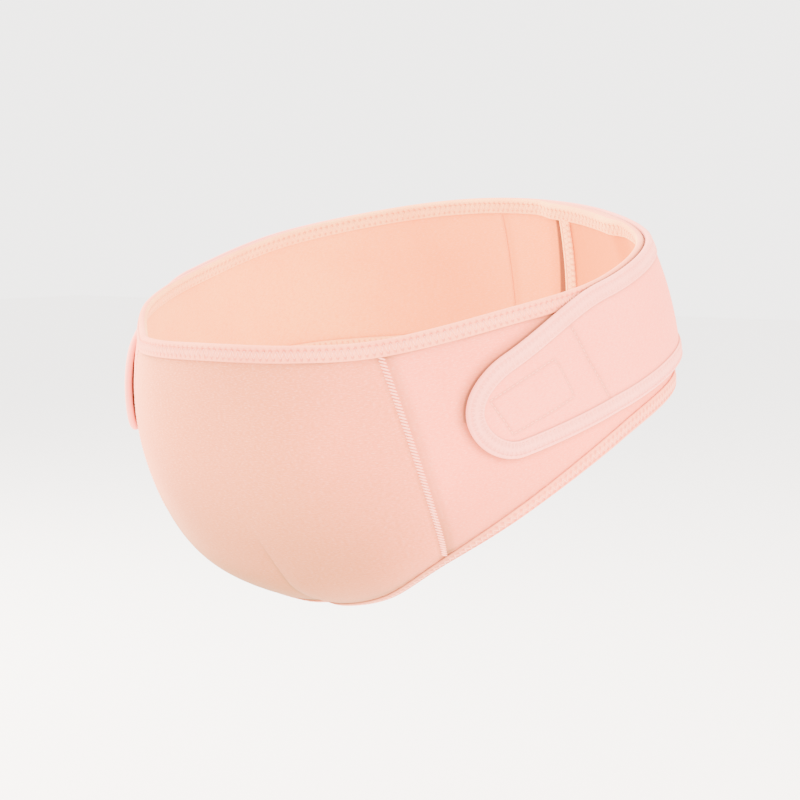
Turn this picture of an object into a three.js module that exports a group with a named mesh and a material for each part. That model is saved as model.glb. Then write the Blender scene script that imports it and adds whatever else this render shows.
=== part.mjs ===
// Maternity support belt, standing closed as it does round the body.
// Millimetres, +Z up. The wearer faces -Y and the wearer's left is +X.
// The origin is the point on the body's axis that the belt is worn round.
import * as THREE from 'three';

// Overall form
const WAIST_WIDTH = 306;
const FRONT_REACH = 184;
const BACK_REACH = 113;
const FRONT_RISE = 45;
const RIM_CLIMB = 81;
const FRONT_DROP = 173;
const BACK_DROP = 102;
const BULGE = 22;
const HEM_TUCK = 20;

// Cloth and clearances
const PANEL_WALL = 2.6;
const BAND_WALL = 2;
const TAPE_WALL = 1;
const TAPE_WIDTH = 10;
const GAP = 0.3;

// Front panel: each belly seam's way from the centre front, the lower dart, and where
// the hem starts to tuck under the belly
const BELLY_SEAM = 116;
const DART_DEPTH = 2.2;
const DART_SPREAD = 7;
const DART_TOP = 0.42;
const TUCK_TOP = 0.8;

// Back closure: the left wing's bound end lies inside the right wing
const END_FROM_BACK_TOP = 58;
const END_FROM_BACK_HEM = 40;
const UNDERLAP = 54;
const LAP_EASE = 20;
const END_TAPE_SHORT = 2;

// Outer band and its tapered tabs
const TIP_FROM_FRONT = 148;
const TIP_LENGTH = 30;
const TIP_HEIGHT = 56;
const BAND_HEIGHT = 74;
const TAPER_LENGTH = 100;
const BAND_CENTRE = 39;
const TIP_DROP = 19;

// Fastening patches under the tab tips
const PATCH_MARGIN = 3.5;
const PATCH_HEIGHT = 27;
const PATCH_LENGTH = 53;
const PATCH_ROUND = 20;
const PATCH_BLUNT = 5;

// Fineness of the faceted cloth
const COLUMN_STEP = 15.5;
const PANEL_SHARES = [0, 0.25, 0.5, 0.7, 0.86, 1];
const BAND_ROWS = 3;
const TIP_STEPS = 7;
const PATCH_COLUMNS = 7;
const PATCH_ROWS = 3;

// One row for each upright section of the left half, from the centre front back.
// Lengths are shares: x of half the width, y of the reach, rise of the rim's tilt,
// drop of the height, bulge of BULGE, tuck of HEM_TUCK. Skew moves the bulge up the section.
const FRONT_ROWS = [
  { rimX: 0, rimY: -1, rise: 0, hemX: 0, hemY: -0.47, drop: 1, bulge: 1, skew: 0.22, tuck: 1 },
  {
    rimX: 0.327, rimY: -0.94, rise: 0, hemX: 0.366, hemY: -0.5,
    drop: 0.935, bulge: 0.91, skew: 0.22, tuck: 0.95,
  },
  {
    rimX: 0.575, rimY: -0.766, rise: 0.037, hemX: 0.667, hemY: -0.478,
    drop: 0.775, bulge: 0.64, skew: 0.12, tuck: 0.65,
  },
  {
    rimX: 0.85, rimY: -0.478, rise: 0.222, hemX: 0.928, hemY: -0.359,
    drop: 0.67, bulge: 0.36, skew: 0, tuck: 0.25,
  },
  {
    rimX: 1, rimY: -0.082, rise: 0.432, hemX: 1.078, hemY: -0.033,
    drop: 0.547, bulge: 0.23, skew: 0, tuck: 0,
  },
];
const BACK_ROWS = [
  {
    rimX: 0.902, rimY: 0.513, rise: 0.716, hemX: 1.026, hemY: 0.602,
    drop: 0.892, bulge: 0.23, skew: 0, tuck: 0,
  },
  {
    rimX: 0.484, rimY: 0.912, rise: 0.926, hemX: 0.575, hemY: 1.08,
    drop: 0.961, bulge: 0.18, skew: 0, tuck: 0,
  },
  { rimX: 0, rimY: 1, rise: 1, hemX: 0, hemY: 1.212, drop: 1, bulge: 0.18, skew: 0, tuck: 0 },
];

const COLOURS = {
  belly: 0xf0d2c2,
  wing: 0xfbd3c8,
  binding: 0xfcdfd2,
  band: 0xfbd8d0,
  bandBinding: 0xfde2dc,
  patch: 0xf3c9bd,
};

// Sections of the whole ring, each with its rim point, hem point, bulge, skew and tuck
function sectionOf(row, reach, drop) {
  const rimZ = FRONT_RISE + row.rise * RIM_CLIMB;
  const half = WAIST_WIDTH / 2;
  return [
    row.rimX * half,
    row.rimY * reach,
    rimZ,
    row.hemX * half,
    row.hemY * reach,
    rimZ - row.drop * drop,
    row.bulge * BULGE,
    row.skew,
    row.tuck * HEM_TUCK,
  ];
}

function mirrored(section) {
  const copy = section.slice();
  copy[0] = -copy[0];
  copy[3] = -copy[3];
  return copy;
}

const LEFT = [
  ...FRONT_ROWS.map((row) => sectionOf(row, FRONT_REACH, FRONT_DROP)),
  ...BACK_ROWS.map((row) => sectionOf(row, BACK_REACH, BACK_DROP)),
];
const RING = [...LEFT, ...LEFT.slice(1, -1).reverse().map(mirrored)];
const BACK_STATION = LEFT.length - 1;

function smooth(x) {
  const t = Math.min(1, Math.max(0, x));
  return t * t * (3 - 2 * t);
}

// A section at any station, by a smooth curve through the four nearest rows
function sectionAt(station) {
  const n = RING.length;
  const s = ((station % n) + n) % n;
  const i = Math.floor(s);
  const u = s - i;
  const [a, b, c, d] = [i - 1, i, i + 1, i + 2].map((k) => RING[(k + n) % n]);
  return b.map((_, k) => {
    const linear = c[k] - a[k];
    const square = 2 * a[k] - 5 * b[k] + 4 * c[k] - d[k];
    const cube = 3 * b[k] - a[k] - 3 * c[k] + d[k];
    return b[k] + 0.5 * u * (linear + u * (square + u * cube));
  });
}

// Small moves in station and v that find slopes of the face, and of its edges
const NUDGE = 0.002;
const EDGE_NUDGE = 0.02;

// A point of the belt's outer face: station round the ring, v from rim 0 to hem 1
function facePoint(station, v) {
  const [rimX, rimY, rimZ, hemX, hemY, hemZ, bulge, skew, tuck] = sectionAt(station);
  const rim = new THREE.Vector3(rimX, rimY, rimZ);
  const chord = new THREE.Vector3(hemX, hemY, hemZ).sub(rim);
  const before = sectionAt(station - NUDGE);
  const after = sectionAt(station + NUDGE);
  const along = new THREE.Vector3(after[0] - before[0], after[1] - before[1], after[2] - before[2]);
  const out = new THREE.Vector3().crossVectors(chord, along).normalize();
  const turn = Math.max(0, v - TUCK_TOP) / (1 - TUCK_TOP);
  const swell = bulge * 4 * v * (1 - v) * (1 + skew * (1 - 2 * v)) - tuck * turn * turn;
  return rim.addScaledVector(chord, v).addScaledVector(out, swell - dartDent(station, v));
}

// Straight way between the first two sections, which turns stations into a length there
const FRONT_SPAN = Math.hypot(LEFT[1][0] - LEFT[0][0], LEFT[1][1] - LEFT[0][1]);

function dartDent(station, v) {
  const fromFront = station > BACK_STATION ? station - RING.length : station;
  const away = (fromFront * FRONT_SPAN) / DART_SPREAD;
  return DART_DEPTH * Math.exp(-away * away) * smooth((v - DART_TOP) / (1 - DART_TOP));
}

function faceNormal(station, v) {
  const down = facePoint(station, v + NUDGE).sub(facePoint(station, v - NUDGE));
  const along = facePoint(station + NUDGE, v).sub(facePoint(station - NUDGE, v));
  return down.cross(along).normalize();
}

// Tables that turn a length round the belt, half way down, into a station, and a station
// into the cloth's height there
const SAMPLES = 24;
const LENGTHS = [0];
const HEIGHTS = [heightOf(0)];
for (let k = 1; k <= BACK_STATION * SAMPLES; k += 1) {
  const step = facePoint(k / SAMPLES, 0.5).distanceTo(facePoint((k - 1) / SAMPLES, 0.5));
  LENGTHS.push(LENGTHS[k - 1] + step);
  HEIGHTS.push(heightOf(k / SAMPLES));
}
const HALF_GIRTH = LENGTHS[LENGTHS.length - 1];

function heightOf(station) {
  const pieces = 16;
  let sum = 0;
  for (let k = 0; k < pieces; k += 1) {
    sum += facePoint(station, k / pieces).distanceTo(facePoint(station, (k + 1) / pieces));
  }
  return sum;
}

// girth runs from the centre front round the wearer's left, past the back if over half
function stationAt(girth) {
  const whole = 2 * HALF_GIRTH;
  const g = ((girth % whole) + whole) % whole;
  const folded = Math.min(g, whole - g);
  let k = 1;
  while (k < LENGTHS.length - 1 && LENGTHS[k] < folded) k += 1;
  const share = (folded - LENGTHS[k - 1]) / (LENGTHS[k] - LENGTHS[k - 1]);
  const station = (k - 1 + share) / SAMPLES;
  return g <= HALF_GIRTH ? station : RING.length - station;
}

function girthOf(station) {
  const n = RING.length;
  const s = ((station % n) + n) % n;
  const x = Math.min(s, n - s) * SAMPLES;
  const k = Math.min(LENGTHS.length - 2, Math.floor(x));
  const girth = LENGTHS[k] + (LENGTHS[k + 1] - LENGTHS[k]) * (x - k);
  return s <= n - s ? girth : 2 * HALF_GIRTH - girth;
}

function heightAt(station) {
  const n = RING.length;
  const s = ((station % n) + n) % n;
  const x = Math.min(s, n - s) * SAMPLES;
  const k = Math.min(HEIGHTS.length - 2, Math.floor(x));
  return HEIGHTS[k] + (HEIGHTS[k + 1] - HEIGHTS[k]) * (x - k);
}

// A point on the belt by station and the way down from the rim, lifted off the outer face
function place(station, down, lift) {
  const v = down / heightAt(station);
  return facePoint(station, v).addScaledVector(faceNormal(station, v), lift);
}

// How station and way down change for one millimetre square to a way along the belt,
// to its right-hand side seen from outside
function sideStep(before, at, after) {
  const { station, down } = at;
  const tangent = place(after.station, after.down, 0).sub(place(before.station, before.down, 0));
  const inward = tangent.cross(faceNormal(station, down / heightAt(station))).normalize();
  const here = place(station, down, 0);
  const perStation = place(station + NUDGE, down, 0).sub(here).divideScalar(NUDGE);
  const perDown = place(station, down + 1, 0).sub(here);
  const a = perStation.dot(perStation);
  const b = perStation.dot(perDown);
  const c = perDown.dot(perDown);
  const e = inward.dot(perStation);
  const f = inward.dot(perDown);
  const det = a * c - b * b;
  return { station: (e * c - f * b) / det, down: (f * a - e * b) / det };
}

function stepped(at, step, amount) {
  return { station: at.station + step.station * amount, down: at.down + step.down * amount };
}

// The steps square to a path at each of its points
function pathSteps(path, closed) {
  const n = path.length;
  return path.map((at, k) => {
    const before = closed ? path[(k - 1 + n) % n] : path[Math.max(0, k - 1)];
    const after = closed ? path[(k + 1) % n] : path[Math.min(n - 1, k + 1)];
    return sideStep(before, at, after);
  });
}

// A place on the rim or the hem, and the step from it into the cloth
function rimPlace(station) {
  return { station, down: 0 };
}

function hemPlace(station) {
  return { station, down: heightAt(station) };
}

function rimStep(station) {
  return sideStep(rimPlace(station - EDGE_NUDGE), rimPlace(station), rimPlace(station + EDGE_NUDGE));
}

function hemStep(station) {
  return sideStep(hemPlace(station + EDGE_NUDGE), hemPlace(station), hemPlace(station - EDGE_NUDGE));
}

// Closed bodies from grids of points
function signedVolume(points, faces) {
  return faces.reduce((sum, [a, b, c]) => {
    const cross = new THREE.Vector3().crossVectors(points[b], points[c]);
    return sum + points[a].dot(cross) / 6;
  }, 0);
}

function bodyFrom(name, colour, points, faces) {
  const turned = signedVolume(points, faces) < 0 ? faces.map(([a, b, c]) => [a, c, b]) : faces;
  const geometry = new THREE.BufferGeometry();
  geometry.setAttribute('position', new THREE.Float32BufferAttribute(points.flatMap((p) => p.toArray()), 3));
  geometry.setIndex(turned.flat());
  geometry.computeVertexNormals();
  const material = new THREE.MeshStandardMaterial({ color: colour, roughness: 0.92, metalness: 0 });
  const mesh = new THREE.Mesh(geometry, material);
  mesh.name = name;
  return mesh;
}

function quad(faces, a, b, c, d) {
  faces.push([a, b, c], [a, c, d]);
}

// A cloth wall: grid[column][row] gives { outer, inner } points
function wall(name, colour, grid) {
  const columns = grid.length;
  const rows = grid[0].length;
  const points = [];
  const faces = [];
  const outer = (i, j) => 2 * (i * rows + j);
  const inner = (i, j) => 2 * (i * rows + j) + 1;
  grid.forEach((column) => column.forEach((cell) => points.push(cell.outer, cell.inner)));
  for (let i = 0; i < columns - 1; i += 1) {
    for (let j = 0; j < rows - 1; j += 1) {
      quad(faces, outer(i, j), outer(i, j + 1), outer(i + 1, j + 1), outer(i + 1, j));
      quad(faces, inner(i, j), inner(i + 1, j), inner(i + 1, j + 1), inner(i, j + 1));
    }
    quad(faces, outer(i, 0), outer(i + 1, 0), inner(i + 1, 0), inner(i, 0));
    quad(faces, outer(i, rows - 1), inner(i, rows - 1), inner(i + 1, rows - 1), outer(i + 1, rows - 1));
  }
  const last = columns - 1;
  for (let j = 0; j < rows - 1; j += 1) {
    quad(faces, outer(0, j), inner(0, j), inner(0, j + 1), outer(0, j + 1));
    quad(faces, outer(last, j), outer(last, j + 1), inner(last, j + 1), inner(last, j));
  }
  return bodyFrom(name, colour, points, faces);
}

// A tape folded over an edge: points of across and lift, with low ones on the inner side
function foldedTape(low, high) {
  const over = TAPE_WALL + GAP;
  const round = TAPE_WALL;
  return [
    { across: TAPE_WIDTH, lift: high + GAP },
    { across: TAPE_WIDTH, lift: high + over },
    { across: round, lift: high + over },
    { across: 0, lift: high + GAP },
    { across: 0, lift: low - GAP, inner: true },
    { across: round, lift: low - over, inner: true },
    { across: TAPE_WIDTH, lift: low - over, inner: true },
    { across: TAPE_WIDTH, lift: low - GAP, inner: true },
    { across: round, lift: low - GAP, inner: true },
    { across: round, lift: high + GAP },
  ];
}

// A tape along a path, whose inner side sinks where sinkAt says
function binding(name, colour, path, section, closed, sinkAt) {
  const points = [];
  const faces = [];
  const sides = section.length;
  const steps = pathSteps(path, closed);
  path.forEach((at, k) => {
    section.forEach(({ across, lift, inner }) => {
      const { station, down } = stepped(at, steps[k], across);
      const sink = inner && sinkAt ? sinkAt(station, down) : 0;
      points.push(place(station, down, lift - sink));
    });
  });
  const turns = closed ? path.length : path.length - 1;
  for (let k = 0; k < turns; k += 1) {
    const here = k * sides;
    const there = ((k + 1) % path.length) * sides;
    for (let j = 0; j < sides; j += 1) {
      const next = (j + 1) % sides;
      const inward = section[next].across >= section[j].across;
      if (inward) quad(faces, here + j, here + next, there + next, there + j);
      else quad(faces, here + next, there + next, there + j, here + j);
    }
  }
  if (!closed) {
    const outline = section.map(({ across, lift }) => new THREE.Vector2(across, lift));
    const last = (path.length - 1) * sides;
    const turn = Math.sign(THREE.ShapeUtils.area(outline));
    THREE.ShapeUtils.triangulateShape(outline, []).forEach(([a, b, c]) => {
      const same = Math.sign(THREE.ShapeUtils.area([outline[a], outline[b], outline[c]])) === turn;
      const [p, q] = same ? [b, c] : [c, b];
      faces.push([a, q, p]);
      faces.push([last + a, last + p, last + q]);
    });
  }
  return bodyFrom(name, colour, points, faces);
}

// Columns round each half: shares of the front panel, then even steps, with the closure's marks
const FRONT_SHARES = [0, 0.05, 0.12, 0.21, 0.31, 0.43, 0.56, 0.7, 0.85, 1];
const EDGE = TAPE_WALL + GAP;
const LAP_SHIFT = PANEL_WALL + TAPE_WALL + 2 * GAP;
const END_TOP = HALF_GIRTH - END_FROM_BACK_TOP;
const END_HEM = HALF_GIRTH - END_FROM_BACK_HEM;
const UNDER_END = END_TOP - UNDERLAP;
const LAP_FULL = UNDER_END - EDGE;
const PAST_END = 6;

function halfColumns(marks) {
  const steps = Math.ceil((HALF_GIRTH - BELLY_SEAM) / COLUMN_STEP);
  const even = [];
  for (let k = 1; k <= steps; k += 1) even.push(BELLY_SEAM + ((HALF_GIRTH - BELLY_SEAM) * k) / steps);
  const apart = COLUMN_STEP / 3;
  const last = steps - 1;
  const kept = even.filter((x, k) => k === last || marks.every((mark) => Math.abs(mark - x) > apart));
  const front = FRONT_SHARES.map((share) => share * BELLY_SEAM);
  return [...front, ...kept, ...marks].sort((a, b) => a - b);
}

const PLAIN_COLUMNS = halfColumns([]);
const LAP_MARKS = [
  LAP_FULL - LAP_EASE,
  LAP_FULL - LAP_EASE / 2,
  LAP_FULL,
  UNDER_END,
  END_TOP - TAPE_WIDTH + EDGE,
  END_TOP,
  END_TOP + PAST_END,
];
const RING_COLUMNS = [
  ...halfColumns(LAP_MARKS),
  ...PLAIN_COLUMNS.slice(1, -1).reverse().map((x) => 2 * HALF_GIRTH - x),
];

// The left wing's bound end leans, and the columns on either side of it lean with it
function endGirth(v) {
  return END_TOP + (END_HEM - END_TOP) * v;
}

function leaning(girth, v) {
  if (girth <= LAP_FULL || girth >= HALF_GIRTH) return girth;
  const lean = endGirth(v) - END_TOP;
  const share = girth < END_TOP
    ? (girth - LAP_FULL) / (END_TOP - LAP_FULL)
    : (HALF_GIRTH - girth) / (HALF_GIRTH - END_TOP);
  return girth + lean * share;
}

// The left wing sinks inside the right wing behind the body
function wingSink(station) {
  const girth = girthOf(station);
  return girth > HALF_GIRTH ? 0 : LAP_SHIFT * smooth((girth - LAP_FULL + LAP_EASE) / LAP_EASE);
}

// The rim and hem tapes go round both walls, and come back past the wing's end
function tapeSink(station, down) {
  const past = girthOf(station) - endGirth(down / heightAt(station)) - PAST_END;
  return wingSink(station) * (1 - smooth(past / LAP_EASE));
}

// An upright column of the cloth: its two places at the inner edges of the tapes
function columnSpan(girth) {
  const top = rimPlace(stationAt(leaning(girth, 0)));
  const foot = hemPlace(stationAt(leaning(girth, 1)));
  const into = rimStep(top.station);
  const back = hemStep(foot.station);
  const from = stepped(top, into, TAPE_WIDTH);
  const to = stepped(foot, back, TAPE_WIDTH);
  const turns = Math.round((to.station - from.station) / RING.length);
  to.station -= turns * RING.length;
  return { from, to, first: stepped(top, into, EDGE), last: stepped(foot, back, EDGE) };
}

function partWay({ from, to }, share) {
  return {
    station: from.station + (to.station - from.station) * share,
    down: from.down + (to.down - from.down) * share,
  };
}

// A panel between its first and last column, with a row at the inner edge of each tape
function panel(name, colour, columns, sinkAt) {
  const grid = columns.map((girth) => {
    const span = columnSpan(girth);
    const between = PANEL_SHARES.map((share) => partWay(span, share));
    const column = [span.first, ...between, span.last];
    return column.map(({ station, down }) => {
      const lift = sinkAt ? -sinkAt(station) : 0;
      return { outer: place(station, down, lift), inner: place(station, down, lift - PANEL_WALL) };
    });
  });
  return wall(name, colour, grid);
}

function between(from, to) {
  const inside = RING_COLUMNS.filter((x) => x > from + 1 && x < to - 1);
  return [from, ...inside, to];
}

function bellyPanel() {
  const inside = PLAIN_COLUMNS.filter((x) => x > 0 && x < BELLY_SEAM - 1);
  const edge = BELLY_SEAM - GAP / 2;
  const columns = [-edge, ...inside.slice().reverse().map((x) => -x), 0, ...inside, edge];
  return panel('belly_panel', COLOURS.belly, columns, null);
}

function leftWing() {
  return panel('wing_left', COLOURS.wing, between(BELLY_SEAM + GAP / 2, END_TOP), wingSink);
}

function rightWing() {
  const columns = between(UNDER_END, 2 * HALF_GIRTH - BELLY_SEAM - GAP / 2);
  return panel('wing_right', COLOURS.wing, columns, null);
}

function rimBinding() {
  const path = RING_COLUMNS.map((girth) => rimPlace(stationAt(girth)));
  return binding('rim_binding', COLOURS.binding, path, foldedTape(-PANEL_WALL, 0), true, tapeSink);
}

function hemBinding() {
  const around = RING_COLUMNS.slice().reverse();
  const path = around.map((girth) => hemPlace(stationAt(leaning(girth, 1))));
  return binding('hem_binding', COLOURS.binding, path, foldedTape(-PANEL_WALL, 0), true, tapeSink);
}

function backEndBinding() {
  const span = columnSpan(END_TOP);
  const margin = END_TAPE_SHORT / (span.to.down - span.from.down);
  const path = [];
  PANEL_SHARES.forEach((share) => {
    path.push(partWay(span, Math.min(1 - margin, Math.max(margin, share))));
  });
  const tape = foldedTape(-LAP_SHIFT - PANEL_WALL, -LAP_SHIFT);
  const section = tape.map((corner) => ({ ...corner, across: corner.across - EDGE }));
  return binding('back_end_binding', COLOURS.binding, path, section, false, null);
}

// The outer band: its centre line and half height by the way back from a tab's tip
function bandCentre(fromTip) {
  return BAND_CENTRE + TIP_DROP * (1 - smooth(fromTip / (TAPER_LENGTH + TAPE_WIDTH)));
}

function bandHalf(fromTip) {
  const x = Math.min(1, fromTip / TIP_LENGTH);
  const round = Math.sqrt(Math.max(0, 1 - (1 - x) * (1 - x)));
  return (TIP_HEIGHT / 2) * round + ((BAND_HEIGHT - TIP_HEIGHT) / 2) * smooth(fromTip / TAPER_LENGTH);
}

function bandColumns() {
  const tip = [];
  for (let k = 0; k <= TIP_STEPS; k += 1) {
    const angle = ((k + 0.6) / (TIP_STEPS + 0.6)) * (Math.PI / 2);
    tip.push(TIP_LENGTH * (1 - Math.cos(angle)));
  }
  const apart = COLUMN_STEP / 2;
  const rest = PLAIN_COLUMNS.map((x) => x - TIP_FROM_FRONT).filter((x) => x > TIP_LENGTH + apart);
  const half = [...tip, ...rest];
  const whole = 2 * (HALF_GIRTH - TIP_FROM_FRONT);
  return [...half, ...half.slice(0, -1).reverse().map((x) => whole - x)];
}

function bandOutline() {
  const whole = 2 * (HALF_GIRTH - TIP_FROM_FRONT);
  const columns = bandColumns();
  const edge = (side) => columns.map((x) => {
    const fromTip = Math.min(x, whole - x);
    const down = bandCentre(fromTip) + side * bandHalf(fromTip);
    return { station: stationAt(TIP_FROM_FRONT + x), down };
  });
  return [...edge(-1), ...edge(1).reverse()];
}

// The tape on the band has one leg between the band and the rim's own tape
const BAND_LIFT = 2 * EDGE + GAP;

function supportBand(outline) {
  const steps = pathSteps(outline, true);
  const last = outline.length - 1;
  const grid = [];
  for (let i = 0; i < outline.length / 2; i += 1) {
    const from = stepped(outline[i], steps[i], TAPE_WIDTH);
    const to = stepped(outline[last - i], steps[last - i], TAPE_WIDTH);
    const column = [stepped(outline[i], steps[i], EDGE)];
    for (let k = 0; k <= BAND_ROWS; k += 1) {
      const share = k / BAND_ROWS;
      const station = from.station + (to.station - from.station) * share;
      column.push({ station, down: from.down + (to.down - from.down) * share });
    }
    column.push(stepped(outline[last - i], steps[last - i], EDGE));
    grid.push(column.map(({ station, down }) => ({
      outer: place(station, down, BAND_LIFT + BAND_WALL),
      inner: place(station, down, BAND_LIFT),
    })));
  }
  return wall('support_band', COLOURS.band, grid);
}

function supportBandBinding(outline) {
  const section = foldedTape(BAND_LIFT, BAND_LIFT + BAND_WALL);
  return binding('support_band_binding', COLOURS.bandBinding, outline, section, true, null);
}

// A patch between a tab and the wing; side is 1 on the wearer's left and -1 on the right
function patch(name, side) {
  const start = TAPE_WIDTH + PATCH_MARGIN;
  const grid = [];
  for (let i = 0; i <= PATCH_COLUMNS; i += 1) {
    const x = start + (PATCH_LENGTH * i) / PATCH_COLUMNS;
    const round = Math.sqrt(Math.min(1, (x - start + PATCH_BLUNT) / PATCH_ROUND));
    const room = bandHalf(x) - TAPE_WIDTH - PATCH_MARGIN / 2;
    const half = Math.min((PATCH_HEIGHT / 2) * round, room);
    const station = side * stationAt(TIP_FROM_FRONT + x);
    const column = [];
    for (let j = 0; j <= PATCH_ROWS; j += 1) {
      const down = bandCentre(x) + half * ((2 * j) / PATCH_ROWS - 1);
      column.push({ outer: place(station, down, BAND_LIFT - 2 * GAP), inner: place(station, down, GAP) });
    }
    grid.push(column);
  }
  return wall(name, COLOURS.patch, grid);
}

const group = new THREE.Group();
const outline = bandOutline();
group.add(
  bellyPanel(),
  leftWing(),
  rightWing(),
  rimBinding(),
  hemBinding(),
  backEndBinding(),
  supportBand(outline),
  supportBandBinding(outline),
  patch('fastening_patch_left', 1),
  patch('fastening_patch_right', -1),
);

export default group;
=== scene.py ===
"""Maternity support belt: the looks of every cloth piece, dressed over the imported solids.

Lengths inside the classes are millimetres and become metres when a mesh is made. A place on
the belt is given by its girth, the way round from the centre front by the wearer's left, by
its way down from the rim, and by its lift off the belt's outer face.
"""

import logging
import math
from dataclasses import dataclass, field
from enum import Enum
from typing import Callable

import bpy
import numpy as np
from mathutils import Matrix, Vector

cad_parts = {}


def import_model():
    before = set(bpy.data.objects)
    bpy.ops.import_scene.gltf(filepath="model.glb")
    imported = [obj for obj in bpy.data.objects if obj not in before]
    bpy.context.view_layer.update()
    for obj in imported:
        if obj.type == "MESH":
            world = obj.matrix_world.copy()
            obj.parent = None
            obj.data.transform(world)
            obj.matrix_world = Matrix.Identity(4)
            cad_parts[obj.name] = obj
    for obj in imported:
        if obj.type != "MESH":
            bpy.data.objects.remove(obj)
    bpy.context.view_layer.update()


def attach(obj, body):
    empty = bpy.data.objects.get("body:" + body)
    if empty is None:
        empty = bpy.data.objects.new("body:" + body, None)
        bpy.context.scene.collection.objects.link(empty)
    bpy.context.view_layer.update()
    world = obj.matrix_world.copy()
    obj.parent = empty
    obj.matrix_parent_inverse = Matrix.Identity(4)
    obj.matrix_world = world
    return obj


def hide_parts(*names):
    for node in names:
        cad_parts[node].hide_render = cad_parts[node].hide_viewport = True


MM = 0.001
TAU = 2 * math.pi
LOG = logging.getLogger("support_belt")

# Tone of the painted shadow line: the thin dark line where another piece lies on cloth
PAINTED_SHADOW_LINE = (0.105, 0.078, 0.040, 1.0)

# The mesh attribute cover sets the painted shadow and painted dark line beside another piece: it is
# 0 in the open and COVER_EDGE at that piece's edge, and grows by the millimetre under that piece,
# up to COVER_MOST
COVER_EDGE = 8.0
COVER_MOST = COVER_EDGE + 3.0

# The panels' wall, the tapes' width, and the edge tapes' two stitch rows: how far they lie from
# the fold, and their pitch
CLOTH_WALL = 2.6
TAPE_WIDTH = 10.0
TAPE_ROWS = (3.1, 7.7)
TAPE_PITCH = 3.9


class Side(Enum):
    """The wearer's sides, as the sign of a girth from the centre front."""

    LEFT = 1
    RIGHT = -1


class Skin(Enum):
    """The two faces of a cloth piece, as its material slots."""

    OUTER = 0
    INNER = 1


def smooth(x: np.ndarray) -> np.ndarray:
    """Returns 0 below 0, 1 above 1 and a smooth step between."""
    t = np.clip(x, 0.0, 1.0)
    return t * t * (3 - 2 * t)


def bell(x: np.ndarray, width: float) -> np.ndarray:
    """Returns a bell curve that is 1 at x = 0 and falls off over width."""
    return np.exp(-((np.asarray(x, float) / width) ** 2))


def unit(v: np.ndarray) -> np.ndarray:
    """Returns vectors along the last axis brought to length 1."""
    return v / np.maximum(np.linalg.norm(v, axis=-1, keepdims=True), 1e-12)


@dataclass(frozen=True)
class Line:
    """A dent or tone along a line: its strength, its spread and where its middle lies."""

    strength: float
    spread: float
    middle: float = 0.0

    def at(self, way: np.ndarray) -> np.ndarray:
        """Returns the strength at ways from the line."""
        return self.strength * bell(way - self.middle, self.spread)


@dataclass(frozen=True)
class Step:
    """A smooth step from 0 at its start to 1 over its length, which may run backwards."""

    start: float
    length: float

    def at(self, way: np.ndarray) -> np.ndarray:
        """Returns the step's height, 0 to 1."""
        return smooth((way - self.start) / self.length)


@dataclass(frozen=True)
class Waves:
    """Puckers along an edge: their pitch, and how far and how slowly it wanders."""

    pitch: float
    wander: float
    slowness: float

    def at(self, way: np.ndarray, phase: np.ndarray | float = 0.0) -> np.ndarray:
        """Returns the waves' height, -1 to 1."""
        return np.sin(way * TAU / self.pitch + self.wander * np.sin(way / self.slowness) + phase)


@dataclass(frozen=True)
class Stitch:
    """One kind of stitch: its pitch along the row, its length and its thread's size."""

    pitch: float
    length: float
    width: float
    height: float


# The belt's form

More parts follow.
